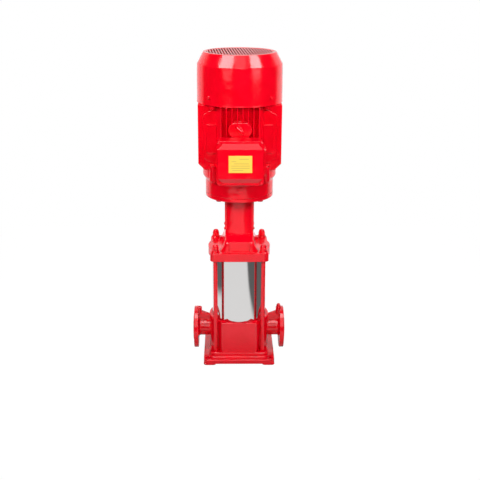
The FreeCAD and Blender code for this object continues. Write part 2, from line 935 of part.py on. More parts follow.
def motor_bracket():
    """Cast bracket that closes the pump and carries the motor."""
    flange = rounded_plate(bracket_flange_half, bracket_flange_half, bracket_flange_corner, z_bracket,
                           z_flange)
    bulge = disc(bracket_disc_radius, z_bracket, z_flange)
    bulge = bulge.common(slab(-bracket_disc_radius, bracket_disc_radius, -bracket_flange_half,
                              bracket_flange_half, z_bracket, z_flange))
    flange = flange.fuse(bulge).removeSplitter()
    flange = rounded_edges(flange, bracket_edge_round, at_height(z_flange))
    top = disc(top_flange_radius, z_neck, z_motor)
    top = rounded_edges(top, top_flange_round, at_height(z_neck))
    shapes = [flange, top] + bracket_neck()
    for side_x, side_y in CORNERS:
        shapes.append(disc(nut_boss_radius, z_flange - nut_boss_sink, z_flange + nut_boss_height,
                           side_x * rod_half_spacing, side_y * rod_half_spacing))
    low, high = guard_ends()
    half = window_half_width + guard_overlap + guard_pad_rim
    for side in SIDES:
        reach_in, reach_out = sorted([side * (neck_half_width - neck_wall / 2), side * guard_seat])
        shapes.append(side_window(half, low - guard_pad_rim, high + guard_pad_rim,
                                  guard_corner + guard_pad_rim,
                                  reach_in, reach_out))
    bracket = shapes[0].fuse(shapes[1:])
    return bracket.cut(bracket_cuts())


def bracket_cuts():
    """Everything that is cored, bored or drilled in the bracket."""
    inner_x = neck_half_width - neck_wall
    inner_y = neck_half_depth - neck_wall
    inner_corner = neck_corner / 2
    hollow = rounded_plate(inner_x, inner_y, inner_corner, z_chamber, z_neck + neck_overlap)
    cuts = [hollow.common(barrel_section(neck_front_radius - neck_wall, z_chamber, z_neck + neck_overlap))]
    water_outer = sleeve_radius - sleeve_wall - chamber_lip
    cuts.append(disc(inner_x, z_neck, z_motor + OVERRUN))
    cuts.append(disc(spigot_radius + slip, z_motor - spigot_height - slip, z_motor + OVERRUN))
    low = z_flange + window_sill
    cuts.append(side_window(window_half_width, low, low + window_height, window_corner,
                            -top_flange_radius, top_flange_radius))
    for side in SIDES:
        reach = flare_half_depth + OVERRUN
        pocket = rounded_plate(recess_half_width, recess_height / 2, recess_corner,
                               recess_floor, reach)
        pocket = facing_front(pocket, z_flange + recess_sill + recess_height / 2)
        cuts.append(turned_about_axis(pocket, 0 if side < 0 else 180))
    cuts.append(ring(water_outer - water_space_width, water_outer, z_bracket - OVERRUN, z_water_top))
    cuts.append(ring(sleeve_radius - sleeve_wall - slip, sleeve_radius + slip, z_bracket - OVERRUN,
                     z_bracket + gasket_seat))
    bush_top = z_bracket + bush_length
    cuts.append(disc(pump_shaft_radius + running + bush_wall + thread_gap, z_bracket - OVERRUN, bush_top))
    chamber_low = bush_top + chamber_floor_above_bush
    cuts.append(disc(pump_shaft_radius + shaft_passage, bush_top - MARGIN, chamber_low + MARGIN))
    cuts.append(disc(chamber_radius, chamber_low, z_chamber + MARGIN))
    for x, y in gland_screw_places():
        cuts.append(disc(gland_screw_radius + thread_gap, z_chamber - gland_screw_depth - MARGIN,
                         z_chamber + MARGIN, x, y))
    for side_x, side_y in CORNERS:
        cuts.append(disc(rod_radius + bolt_play, z_bracket - OVERRUN, z_flange + nut_boss_height + OVERRUN,
                         side_x * rod_half_spacing, side_y * rod_half_spacing))
        place = motor_bolt_circle / 2 * math.sqrt(0.5)
        cuts.append(disc(motor_bolt_radius + bolt_play, z_neck - OVERRUN, z_motor + OVERRUN,
                         side_x * place, side_y * place))
    for side in SIDES:
        for y, z in guard_screw_places():
            start = V(side * (guard_seat - guard_screw_depth), y, z)
            cuts.append(bar(guard_screw_radius + thread_gap, start, V(side, 0, 0),
                            guard_screw_depth + OVERRUN))
    return cuts


def guard_ends():
    """Lower and upper end of a guard."""
    low = z_flange + window_sill
    return low - guard_overlap, low + window_height + guard_overlap


def guard_screw_places():
    """The four corner screws of a guard, as (y, z)."""
    half = window_half_width + guard_overlap - guard_screw_inset
    low, high = guard_ends()
    low += guard_screw_inset
    high -= guard_screw_inset
    return [(-half, low), (half, low), (half, high), (-half, high)]


def coupling_guard(side):
    """Sheet guard over a side window of the bracket."""
    low, high = guard_ends()
    half = window_half_width + guard_overlap
    sheet = side_window(half, low, high, guard_corner, guard_seat, guard_seat + guard_thickness)
    holes = []
    for y, z in guard_screw_places():
        start = V(guard_seat - MARGIN, y, z)
        holes.append(bar(guard_screw_radius + slip, start, ALONG_X, guard_thickness + OVERRUN))
    sheet = sheet.cut(holes)
    if side < 0:
        sheet.rotate(V(0, 0, 0), UP, 180)
    return sheet


def guard_screws():
    """Pan-head screws of both guards."""
    screws = []
    for side in SIDES:
        out = V(side, 0, 0)
        for y, z in guard_screw_places():
            outside = guard_seat + guard_thickness
            shank = bar(guard_screw_radius, V(side * (guard_seat - guard_screw_depth + screw_tip_gap), y, z),
                        out,
                        guard_screw_depth + guard_thickness)
            head = bar(guard_screw_head_radius, V(side * outside, y, z), out, guard_screw_head)
            screws.append(shank.fuse(head).removeSplitter())
    return screws


def seal_gland():
    """Gland cover that holds the still seal seat."""
    bore = pump_shaft_radius + shaft_passage
    plate = ring(bore, gland_radius, z_chamber, z_chamber + gland_thickness)
    neck = ring(seat_radius + slip, chamber_radius - slip, z_chamber - gland_neck, z_chamber)
    gland = plate.fuse(neck).removeSplitter()
    holes = []
    for x, y in gland_screw_places():
        holes.append(disc(gland_screw_radius + slip, z_chamber - MARGIN,
                          z_chamber + gland_thickness + MARGIN, x, y))
    return gland.cut(holes)


def gland_screw_places():
    """Screws of the gland cover, on a circle."""
    places = []
    for number in range(gland_screw_count):
        angle = math.radians(360 / gland_screw_count * number)
        places.append((gland_screw_circle * math.cos(angle), gland_screw_circle * math.sin(angle)))
    return places


def seal_gland_screws():
    """Socket screws of the gland cover."""
    screws = []
    for x, y in gland_screw_places():
        top = z_chamber + gland_thickness
        shank = disc(gland_screw_radius, z_chamber - gland_screw_depth, top + MARGIN, x, y)
        head = disc(gland_screw_head_radius, top, top + gland_screw_head, x, y)
        head = head.cut(hex_bar(gland_screw_head_radius, top + gland_screw_head / 2,
                                top + 2 * gland_screw_head,
                                x, y))
        screws.append(shank.fuse(head).removeSplitter())
    return screws


def seal_seat():
    """Still ring of the mechanical seal."""
    return ring(pump_shaft_radius + MARGIN, seat_radius, z_chamber - seat_height, z_chamber)


def seal_head():
    """Turning part of the mechanical seal: carrier, face ring and spring cup."""
    face_top = z_chamber - seat_height - running
    face = ring(pump_shaft_radius + running, head_radius - seal_face_inset, face_top - seal_face_height,
                face_top)
    carrier = ring(pump_shaft_radius + running, head_radius, face_top - head_height,
                   face_top - seal_face_height)
    return face.fuse(carrier).removeSplitter()


def bush(low):
    """Plain bearing bush round the pump shaft."""
    return ring(pump_shaft_radius + running, pump_shaft_radius + running + bush_wall, low,
                low + bush_length)


def spider_low():
    """Height of the underside of the suction spider's skirt."""
    return z_casing - spider_skirt


def lower_bearing_bush():
    """Bush in the hub of the suction spider."""
    return bush(spider_low())


def upper_bearing_bush():
    """Bush in the underside of the bracket."""
    return bush(z_bracket)


def suction_spider():
    """Inlet ring with three arms that carry the lower bush."""
    neck_hole = impeller_eye_radius + wear_gap
    skirt = ring(neck_hole, eye_radius - slip, spider_low(), z_casing)
    rim = ring(neck_hole, stage_radius, z_casing, z_stack)
    hub_bore = pump_shaft_radius + running + bush_wall + thread_gap
    hub = ring(hub_bore, hub_bore + spider_hub_wall, spider_low(),
               spider_low() + bush_length - spider_hub_step)
    parts = [skirt, rim, hub]
    for number in range(spider_arm_count):
        arm = slab(hub_bore + spider_arm_sink, neck_hole + spider_arm_sink, -spider_arm_thickness / 2,
                   spider_arm_thickness / 2,
                   spider_low(), spider_low() + spider_arm_height)
        parts.append(turned_about_axis(arm, 360 / spider_arm_count * number))
    return joined(parts)


def stage_casing(number):
    """Pressed stage casing with its return vanes and guide plate."""
    low = z_stack + number * stage_pitch
    high = low + stage_pitch
    web_low = high - stage_web
    guide_high = web_low - return_height
    guide_low = guide_high - guide_plate
    neck_hole = impeller_eye_radius + wear_gap
    wall = ring(stage_radius - stage_wall, stage_radius, low, high)
    web = ring(neck_hole, stage_radius - MARGIN, web_low, high)
    guide = ring(spacer_radius + wear_gap, guide_radius, guide_low, guide_high)
    parts = [wall, web, guide]
    for vane in range(return_vane_count):
        blade = slab(neck_hole + vane_root_gap, guide_radius - vane_tip_sink, -return_vane_thickness / 2,
                     return_vane_thickness / 2,
                     guide_high - MARGIN, web_low + MARGIN)
        parts.append(turned_about_axis(blade, 360 / return_vane_count * vane))
    return joined(parts)


def curved_vane(low, high):
    """Backward-curved impeller vane: a strip between two arcs about an offset centre."""
    outer_reach = impeller_radius - impeller_vane_inset
    centre_x = (vane_start_radius + outer_reach) / 2
    offset = math.sqrt(vane_bend_radius ** 2 - ((outer_reach - vane_start_radius) / 2) ** 2)
    centre = (centre_x, -offset)
    half_angle = math.asin((outer_reach - vane_start_radius) / 2 / vane_bend_radius)
    inner = vane_bend_radius - vane_thickness / 2
    outer = vane_bend_radius + vane_thickness / 2

    def on_arc(radius, angle):
        return V(centre[0] + radius * math.sin(angle), centre[1] + radius * math.cos(angle), low)
    edges = [Part.Arc(on_arc(outer, -half_angle), on_arc(outer, 0), on_arc(outer, half_angle)).toShape(),
             Part.makeLine(on_arc(outer, half_angle), on_arc(inner, half_angle)),
             Part.Arc(on_arc(inner, half_angle), on_arc(inner, 0), on_arc(inner, -half_angle)).toShape(),
             Part.makeLine(on_arc(inner, -half_angle), on_arc(outer, -half_angle))]
    return Part.Face(Part.Wire(edges)).extrude(V(0, 0, high - low))


def impeller(number):
    """Closed impeller: eye neck, two shrouds, curved vanes and a hub."""
    eye_low = z_stack + number * stage_pitch - impeller_neck_entry
    front_low = eye_low + impeller_neck_entry + impeller_neck
    front_high = front_low + shroud
    back_low = front_high + vane_height
    back_high = back_low + shroud
    eye_inner = impeller_eye_radius - impeller_neck_wall
    bore = pump_shaft_radius + running
    eye = ring(eye_inner, impeller_eye_radius, eye_low, front_high)
    front = ring(eye_inner, impeller_radius, front_low, front_high)
    back = ring(bore, impeller_radius, back_low, back_high)
    hub = ring(bore, hub_radius, front_high, back_high + hub_rise)
    parts = [front, eye, back, hub]
    vane = curved_vane(front_high - impeller_vane_inset, back_low + impeller_vane_inset)
    for blade in range(vane_count):
        parts.append(turned_about_axis(vane, 360 / vane_count * blade))
    return joined(parts)


def hub_heights(number):
    """Lower and upper end of an impeller hub."""
    low = z_stack + number * stage_pitch + impeller_neck + shroud
    return low, low + vane_height + shroud + hub_rise


def impeller_spacers():
    """Tubes between the impeller hubs, the last one up to the shaft collar."""
    spacers = []
    bore = pump_shaft_radius + running
    for number in range(stage_count):
        low = hub_heights(number)[1]
        if number < stage_count - 1:
            high = hub_heights(number + 1)[0]
        else:
            high = z_bracket - spacer_top_gap
        spacers.append(ring(bore, spacer_radius, low, high))
    return spacers


def impeller_nut():
    """Nut that holds the row of impellers from below."""
    high = hub_heights(0)[0]
    low = spider_low() + bush_length + nut_bottom_gap
    nut = hex_bar(impeller_nut_hex, low, high)
    return nut.cut(disc(pump_shaft_radius + running, low - MARGIN, high + MARGIN))


def stack_clamp_ring():
    """Slotted ring between the last stage and the bracket."""
    body = ring(clamp_inner, clamp_inner + clamp_wall, z_stack_top, z_bracket)
    slots = []
    for number in range(clamp_slots):
        slot = slab(0, stage_radius, -clamp_slot_width / 2, clamp_slot_width / 2,
                    z_stack_top + clamp_land, z_bracket - clamp_land)
        slots.append(turned_about_axis(slot, 360 / clamp_slots * number))
    return body.cut(slots)


def pump_shaft():
    """Pump shaft with the collar under the upper bush and bevelled ends."""
    low = spider_low() - pump_shaft_end_below
    collar = z_bracket - spacer_top_gap
    collar_top = z_bracket - shaft_collar_top_gap
    radius = pump_shaft_radius
    collar_radius = radius + shaft_collar_rise
    tip = radius - shaft_chamfer
    return turned([(0, low), (tip, low), (radius, low + shaft_chamfer), (radius, collar),
                   (collar_radius, collar),
                   (collar_radius, collar_top), (radius, collar_top),
                   (radius, z_pump_shaft_top - shaft_chamfer),
                   (tip, z_pump_shaft_top), (0, z_pump_shaft_top)])


def coupling_bolt_heights():
    """Heights of the two bolt rows of the coupling."""
    return [z_coupling + coupling_bolt_inset, z_coupling_top - coupling_bolt_inset]


def coupling_half(side):
    """Half shell that clamps both shaft ends."""
    high = z_coupling_top
    step = (z_pump_shaft_top + z_motor_shaft) / 2
    shell = turned([(0, z_coupling), (coupling_radius - coupling_bevel, z_coupling),
                    (coupling_radius, z_coupling + coupling_bevel),
                    (coupling_radius, high - coupling_bevel),
                    (coupling_radius - coupling_bevel, high), (0, high)])
    cuts = [disc(pump_shaft_radius + running, z_coupling - MARGIN, high),
            disc(motor_shaft_radius + running, step, high + MARGIN)]
    away = coupling_radius + MARGIN
    split = slab(-away, away, -away, coupling_split / 2, z_coupling - MARGIN, high + MARGIN)
    cuts.append(split if side > 0 else turned_about_axis(split, 180))
    for height in coupling_bolt_heights():
        for side_x in SIDES:
            x = side_x * coupling_bolt_offset
            cuts.append(bar(coupling_bolt_radius + slip, V(x, -away, height), ALONG_Y, 2 * away))
            start = coupling_bolt_head_start()
            cuts.append(bar(coupling_bolt_head_radius + MARGIN, V(x, side * start, height), V(0, side, 0),
                            away))
    return shell.cut(cuts)


def coupling_bolt_head_start():
    """Distance of the spot face under a coupling bolt head from the split."""
    return coupling_split / 2 + coupling_bolt_seat


def coupling_bolts():
    """Clamp bolts with a head in front and a nut behind."""
    bolts = []
    start = coupling_bolt_head_start()
    for height in coupling_bolt_heights():
        for side_x in SIDES:
            x = side_x * coupling_bolt_offset
            shank = bar(coupling_bolt_radius, V(x, -start, height), ALONG_Y, 2 * start)
            head = bar(coupling_bolt_head_radius, V(x, -start - coupling_bolt_head, height), ALONG_Y,
                       coupling_bolt_head)
            nut = bar(coupling_bolt_head_radius, V(x, start, height), ALONG_Y, coupling_bolt_head)
            bolts.append(shank.fuse([head, nut]).removeSplitter())
    return bolts


def motor_flange_bolts():
    """Bolts from under the bracket into the motor's end shield."""
    place = motor_bolt_circle / 2 * math.sqrt(0.5)
    bolts = []
    for side_x, side_y in CORNERS:
        x = side_x * place
        y = side_y * place
        shank = disc(motor_bolt_radius, z_neck - MARGIN, z_motor + motor_bolt_depth - MARGIN, x, y)
        head = hex_bar(motor_bolt_head_radius * 2, z_neck - motor_bolt_head, z_neck, x, y)
        bolts.append(shank.fuse(head).removeSplitter())
    return bolts


def drive_end_shield():
    """Bell-shaped end shield with bearing seat, bolt lugs and face for the bracket."""
    rim_low = z_frame - shield_rim_height
    flare_low = rim_low - shield_flare_height
    bell = turned([(0, z_motor), (top_flange_radius, z_motor), (top_flange_radius, flare_low),
                   (shield_rim_radius, rim_low), (shield_rim_radius, z_frame), (0, z_frame)])
    bell = rounded_edges(bell, shield_edge_round, at_height(z_motor))
    bell = rounded_edges(bell, shield_flare_height,
                         at_heights(flare_low, rim_low))
    shapes = [bell, disc(spigot_radius, z_motor - spigot_height, z_motor)]
    for side_x, side_y in CORNERS:
        shapes.append(disc(lug_radius, z_frame - lug_height, z_frame, side_x * lug_place,
                           side_y * lug_place))
    shapes.append(ring(stator_radius - shield_register_wall, stator_radius - slip, z_frame,
                       z_frame + shield_register_depth))
    shield = joined(shapes)
    seat_low = z_drive_bearing
    hub = bearing_radius + shield_wall
    inside = top_flange_radius - shield_wall
    floor = z_motor + motor_bolt_depth + shield_floor_above_bolts
    register = stator_radius - shield_register_wall
    register_top = z_frame + shield_register_depth + OVERRUN
    cap_top = seat_low + bearing_width + shield_cap_thickness
    hollow = turned([(hub, floor), (inside, floor), (inside, flare_low),
                     (shield_rim_radius - shield_slope_inset, rim_low + shield_slope_rise),
                     (register, z_frame), (register, register_top), (0, register_top), (0, cap_top),
                     (hub, cap_top)])
    cuts = [hollow, disc(bearing_radius + thread_gap, seat_low, z_frame),
            disc(bearing_bore_radius + seal_lip_gap, z_motor - spigot_height - MARGIN, z_frame)]
    place = motor_bolt_circle / 2 * math.sqrt(0.5)
    for side_x, side_y in CORNERS:
        cuts.append(disc(motor_bolt_radius + thread_gap, z_motor - MARGIN, z_motor + motor_bolt_depth,
                         side_x * place, side_y * place))
        cuts.append(disc(shield_bolt_radius + slip, z_frame - lug_height - MARGIN, z_frame + MARGIN,
                         side_x * lug_place, side_y * lug_place))
        head_low = z_frame - lug_height - shield_bolt_head
        cuts.append(disc(shield_bolt_spot_face, head_low - MARGIN, z_frame - lug_height,
                         side_x * lug_place, side_y * lug_place))
    return shield.cut(cuts)


def fin_places(count):
    """Places of evenly spaced fins about the middle."""
    return [fin_pitch * (number - (count - 1) / 2) for number in range(count)]


def fin(place, tip):
    """Front cooling fin that narrows outwards to a round edge."""
    root = fin_root_thickness / 2
    half = fin_tip_thickness / 2
    left = [V(place - root, -fin_start, z_frame), V(place - half, half - tip, z_frame)]
    right = [V(place + half, half - tip, z_frame), V(place + root, -fin_start, z_frame)]
    edges = [Part.makeLine(left[0], left[1]),
             Part.Arc(left[1], V(place, -tip, z_frame), right[0]).toShape(),
             Part.makeLine(right[0], right[1]),
             Part.makeLine(right[1], left[0])]
    return Part.Face(Part.Wire(edges)).extrude(V(0, 0, frame_length))


def motor_frame():
    """Finned barrel with bolt lugs, cast pads, eyebolt pad and terminal box pedestal."""
    fins = []
    for quarter in range(4):
        count, tip = (front_fin_count, fin_tip) if quarter % 2 == 0 else (side_fin_count, side_fin_tip)
        for place in fin_places(count):
            fins.append(turned_about_axis(fin(place, tip), 90 * quarter))
    away = fin_tip + frame_away
    run = away - fin_bevel_start
    rise = fin_bevel_height * run / (side_fin_tip - fin_bevel_start)
    wedge = prism([V(fin_bevel_start, -away, z_frame - MARGIN), V(away, -away, z_frame - MARGIN),
                   V(away, -away, z_frame + rise)], V(0, 2 * away, 0))
    wedges = [turned_about_axis(wedge, 90 * number) for number in range(4)]
    barrel = disc(barrel_radius, z_frame, z_rear)
    shapes = [barrel]
    for blade in fins:
        shapes.append(blade.cut(wedges))
    shapes.append(eye_pad(stator_radius - eye_pad_sink, eye_pad_face, eye_pad_round))
    pedestal = rounded_plate(pedestal_half_width, pedestal_half_height, box_corner,
                             stator_radius - pedestal_sink, box_back)
    shapes.append(facing_front(pedestal, box_centre_height))
    for side_x, side_y in CORNERS:
        shapes += corner_casting(side_x, side_y)
    frame = shapes[0].fuse(shapes[1:])
    cuts = [disc(stator_radius, z_frame - MARGIN, z_rear + MARGIN)]
    cuts.append(eye_pad(eye_pad_face, fin_tip + OVERRUN, 0))
    cuts.append(bar(eye_shank_radius + thread_gap, V(0, -eye_pad_face - MARGIN, z_eye_bolt), ALONG_Y,
                    eye_shank + OVERRUN))
    register = cowl_radius - cowl_wall - cowl_register
    cuts.append(ring(register, fin_tip + side_fin_tip, z_cowl - cowl_register, z_rear + MARGIN))
    opening = rounded_plate(pedestal_inner, pedestal_inner, box_corner, stator_radius - opening_sink,
                            box_back + MARGIN)
    cuts.append(facing_front(opening, box_centre_height))
    for side_x, side_y in CORNERS:
        x = side_x * lug_place
        y = side_y * lug_place
        cuts.append(disc(shield_bolt_radius + thread_gap, z_frame - MARGIN,
                         z_frame + frame_lug_height - bolt_hole_gap, x, y))
        cuts.append(disc(shield_bolt_radius + thread_gap, z_rear - frame_lug_height + bolt_hole_gap,
                         z_rear + MARGIN, x, y))
    return frame.cut(cuts).removeSplitter()


def eye_pad(back, front, edge_round):
    """Round-cornered boss that carries the eyebolt, between two distances in front of the shaft axis."""
    boss = rounded_plate(eye_pad_half, eye_pad_height / 2, eye_pad_corner, back, front)
    if edge_round:
        boss = rounded_edges(boss, edge_round, at_height(front))
    return facing_front(boss, z_eye_pad + eye_pad_height / 2)


def corner_casting(side_x, side_y):
    """Bolt lugs at both ends and the stepped pad between them, on one corner of the frame."""
    x = side_x * lug_place
    y = side_y * lug_place
    low = z_frame + pad_bottom
    high = low + pad_height
    outline = [(pad_inner, low), (pad_outer - pad_bevel_run, low), (pad_outer, low + pad_bevel_rise),
               (pad_outer, high - pad_bevel_rise), (pad_outer - pad_bevel_run, high), (pad_inner, high)]
    points = [V(side_x * across, side_y * pad_root, height) for across, height in outline]
    pad = prism(points, V(0, side_y * (pad_face - pad_root), 0))
    step_low = z_frame + step_bottom
    edges_x = sorted([side_x * pad_inner, side_x * step_outer])
    edges_y = sorted([side_y * pad_root, side_y * step_face])
    step = slab(edges_x[0], edges_x[1], edges_y[0], edges_y[1], step_low, step_low + step_height)
    return [disc(lug_radius, z_frame, z_frame + frame_lug_height, x, y),
            disc(lug_radius, z_rear - frame_lug_height, z_rear, x, y), pad, step]


def shield_bolts():
    """Hexagon bolts of both end shields."""
    bolts = []
    for side_x, side_y in CORNERS:
        x = side_x * lug_place
        y = side_y * lug_place
        low = z_frame - lug_height
        shank = disc(shield_bolt_radius, low - MARGIN, z_frame + frame_lug_height - bolt_tip_gap, x, y)
        head = hex_bar(shield_bolt_hex, low - shield_bolt_head, low, x, y)
        bolts.append(shank.fuse(head).removeSplitter())
        high = z_rear + rear_shield_wall
        shank = disc(shield_bolt_radius, z_rear - frame_lug_height + bolt_tip_gap, high + MARGIN, x, y)
        head = hex_bar(shield_bolt_hex, high, high + shield_bolt_head, x, y)
        bolts.append(shank.fuse(head).removeSplitter())
    return bolts


def rear_end_shield():
    """Rear end shield with bearing seat and the lugs that hold the cowl."""
    wall_high = z_rear + rear_shield_wall
    shapes = [disc(barrel_radius, z_rear, wall_high),
              disc(rear_hub_radius, z_rear, z_rear + rear_shield_thickness),
              disc(stator_radius - slip, z_rear - shield_register_depth, z_rear)]
    reach = cowl_radius - cowl_wall - slip
    height = z_cowl + cowl_lug_place
    inside_cowl = disc(reach, z_rear, z_top)
    for number in range(4):
        lug = disc(lug_radius, z_rear, wall_high, lug_place, lug_place)
        post = bar(cowl_lug_radius, V(reach - cowl_post_length, 0, height), ALONG_X,
                   cowl_post_length).common(inside_cowl)
        web = slab(rear_hub_radius, reach - web_inset, -cowl_lug_radius / 2, cowl_lug_radius / 2, z_rear,
                   height + web_rise)
        shapes.append(turned_about_axis(lug, 90 * number))
        for piece in (post, web):
            shapes.append(turned_about_axis(piece, 45 + 90 * number))
    shield = joined(shapes)
    cuts = [disc(bearing_radius + thread_gap, z_rear - rear_cut_depth, z_rear_bearing + bearing_width),
            disc(fan_seat_radius + rear_bore_play, z_rear, z_rear + rear_shield_thickness + MARGIN),
            ring(rear_hub_radius + rear_hub_play, stator_radius - shield_register_wall,
                 z_rear - rear_cut_depth, z_rear + MARGIN)]
    for number in range(4):
        hole = bar(cowl_screw_radius + thread_gap, V(reach - cowl_screw_length, 0, height), ALONG_X,
                   cowl_post_length)
        cuts.append(turned_about_axis(hole, 45 + 90 * number))
        relief = disc(shield_bolt_spot_face, wall_high, wall_high + shield_bolt_head + OVERRUN, lug_place,
                      lug_place)
        cuts.append(turned_about_axis(relief, 90 * number))
        bolt = disc(shield_bolt_radius + slip, z_rear - rear_cut_depth, wall_high + MARGIN, lug_place,
                    lug_place)
        cuts.append(turned_about_axis(bolt, 90 * number))
    return shield.cut(cuts)


def bearing_levels():
    """Lower faces of the drive-end and rear bearings."""
    return [z_drive_bearing, z_rear_bearing]


def ball_groove(low):
    """Ring-shaped track of the balls, a little larger than a ball."""
    middle = V(0, 0, low + bearing_width / 2)
    return Part.makeTorus(ball_circle_radius, ball_radius + running, middle, UP)


def bearing_outer_rings():
    """Outer rings of both ball bearings."""
    return [ring(land_outer, bearing_radius, low, low + bearing_width).cut(ball_groove(low))
            for low in bearing_levels()]


def bearing_inner_rings():
    """Inner rings of both ball bearings."""
    return [ring(bearing_bore_radius, land_inner, low, low + bearing_width).cut(ball_groove(low))
            for low in bearing_levels()]


def ball_places(low):
    """Centres of the balls of one bearing."""
    places = []
    for number in range(ball_count):
        angle = math.radians(360 / ball_count * number)
        places.append(V(ball_circle_radius * math.cos(angle), ball_circle_radius * math.sin(angle),
                        low + bearing_width / 2))
    return places


def bearing_balls():
    """Balls of both bearings."""
    balls = []
    for low in bearing_levels():
        for place in ball_places(low):
            balls.append(Part.makeSphere(ball_radius, place))
    return balls


def bearing_cages():
    """Crown cages with a round pocket for each ball."""
    cages = []
    for low in bearing_levels():
        middle = low + bearing_width / 2
        cage = ring(cage_inner, cage_outer, middle + cage_bottom, middle + cage_top)
        pockets = [Part.makeSphere(ball_radius + slip, place) for place in ball_places(low)]
        cages.append(cage.cut(pockets))
    return cages


def motor_shaft():
    """Stepped motor shaft from the coupling to the fan."""
    top = z_fan + fan_height + fan_seat_rise
    drive = z_drive_bearing + bearing_width
    return turned([(0, z_motor_shaft), (motor_shaft_radius - shaft_chamfer, z_motor_shaft),
                   (motor_shaft_radius, z_motor_shaft + shaft_chamfer), (motor_shaft_radius, z_motor),
                   (bearing_bore_radius, z_motor), (bearing_bore_radius, drive),
                   (rotor_bore_radius, drive), (rotor_bore_radius, z_rear_bearing),
                   (bearing_bore_radius, z_rear_bearing), (bearing_bore_radius,
                                                           z_rear_bearing + bearing_width),
                   (fan_seat_radius, z_rear_bearing + bearing_width),
                   (fan_seat_radius, top - shaft_chamfer),
                   (fan_seat_radius - shaft_chamfer, top), (0, top)])


def stator_core():
    """Laminated stator core in the barrel."""
    return ring(rotor_core_radius + air_gap, stator_radius, z_core, z_core + core_length)


def end_turn(root, direction):
    """Bevelled ring of end turns, from the core outwards."""
    tip = root + direction * winding_height
    shoulder = tip - direction * winding_bevel
    return turned([(winding_inner, root), (winding_outer, root), (winding_outer, shoulder),
                   (winding_outer - winding_bevel, tip), (winding_inner + winding_bevel, tip),
                   (winding_inner, shoulder)])


def stator_windings():
    """End turns of the winding above and below the core."""
    return [end_turn(z_core, -1), end_turn(z_core + core_length, 1)]


def rotor_core():
    """Rotor core with its cage end rings."""
    high = z_core + core_length
    return turned([(rotor_bore_radius, z_core), (end_ring_inner, z_core),
                   (end_ring_inner, z_core - end_ring_height),
                   (rotor_core_radius - end_ring_step, z_core - end_ring_height),
                   (rotor_core_radius - end_ring_step, z_core),
                   (rotor_core_radius, z_core), (rotor_core_radius, high),
                   (rotor_core_radius - end_ring_step, high),
                   (rotor_core_radius - end_ring_step, high + end_ring_height),
                   (end_ring_inner, high + end_ring_height),
                   (end_ring_inner, high), (rotor_bore_radius, high)])


def cooling_fan():
    """Fan with straight radial blades that works in both directions."""
    bore = fan_seat_radius + slip
    parts = [ring(bore, fan_hub_radius, z_fan - fan_hub_drop, z_fan + fan_height),
             ring(fan_hub_radius - MARGIN, fan_radius, z_fan + fan_height - fan_disc, z_fan + fan_height)]
    half = fan_blade_thickness / 2
    for number in range(fan_blades):
        points = [V(fan_hub_radius - MARGIN, -half, z_fan + fan_height - MARGIN),
                  V(fan_hub_radius - MARGIN, -half, z_fan), V(fan_radius - fan_blade_inset, -half, z_fan),
                  V(fan_radius, -half, z_fan + fan_height - fan_blade_slope),
                  V(fan_radius, -half, z_fan + fan_height - MARGIN)]
        blade = prism(points, V(0, fan_blade_thickness, 0))
        parts.append(turned_about_axis(blade, 360 / fan_blades * number))
    return joined(parts)


def fan_cowl():
    """Pressed cowl with a slotted grille in its top."""
    shoulder = z_cowl + cowl_shoulder
    outside = turned([(0, z_cowl), (cowl_radius, z_cowl), (cowl_radius, shoulder), (cowl_top_radius, z_top),
                      (0, z_top)])
    outside = rounded_edges(outside, cowl_bend,
                            at_heights(shoulder, z_top))
    inside_radius = cowl_radius - cowl_wall
    inside = turned([(0, z_cowl - MARGIN), (inside_radius, z_cowl - MARGIN),
                     (inside_radius, shoulder - cowl_bend_shift),
                     (cowl_top_radius - cowl_wall + cowl_top_shift, z_top - cowl_wall),
                     (0, z_top - cowl_wall)])
    bends = (shoulder - cowl_bend_shift, z_top - cowl_wall)
    inside = rounded_edges(inside, cowl_bend - cowl_wall,
                           lambda middle, edge: any(at_height(bend)(middle, edge) for bend in bends))
    cuts = [inside]
    slots = int(2 * grille_radius / grille_pitch)
    for number in range(slots):
        x = grille_pitch * (number - (slots - 1) / 2)
        half_length = math.sqrt(grille_radius ** 2 - x ** 2)
        if half_length > 2 * grille_slot:
            cuts.append(slab(x - grille_slot / 2, x + grille_slot / 2, -half_length, half_length,
                             z_top - 2 * cowl_wall, z_top + MARGIN))
    for number in range(4):
        hole = bar(cowl_screw_radius + slip, V(inside_radius - cowl_hole_inset, 0, z_cowl + cowl_lug_place),
                   ALONG_X, cowl_hole_length)
        cuts.append(turned_about_axis(hole, 45 + 90 * number))
    return outside.cut(cuts)


def cowl_screws():
    """Screws through the cowl into the lugs of the rear shield."""
    screws = []
    for number in range(4):
        height = z_cowl + cowl_lug_place
        inner = cowl_radius - cowl_screw_length
        shank = bar(cowl_screw_radius, V(inner, 0, height), ALONG_X, cowl_screw_length + MARGIN)
        head = bar(cowl_screw_head_radius, V(cowl_radius + slip, 0, height), ALONG_X, cowl_screw_head)
        screws.append(turned_about_axis(shank.fuse(head).removeSplitter(), 45 + 90 * number))
    return screws


def lifting_eyebolt():
    """Eyebolt screwed into the front pad, its ring turned aslant."""
    ring_centre = eye_pad_face + eye_collar + eye_ring_radius - MARGIN
    loop = Part.makeTorus(eye_ring_radius, eye_wire, V(0, -ring_centre, 0), UP)
    collar = bar(eye_collar_radius, V(0, -eye_pad_face - eye_collar, 0), ALONG_Y, eye_collar)
    shank = bar(eye_shank_radius, V(0, -eye_pad_face - MARGIN, 0), ALONG_Y, eye_shank)
    eyebolt = joined([loop, collar, shank])
    eyebolt.rotate(V(0, 0, 0), ALONG_Y, eye_turn)
    return raised(eyebolt, z_eye_bolt)


def box_face():
    """Distance of the terminal box's open face in front of the shaft axis."""
    return box_back + box_depth


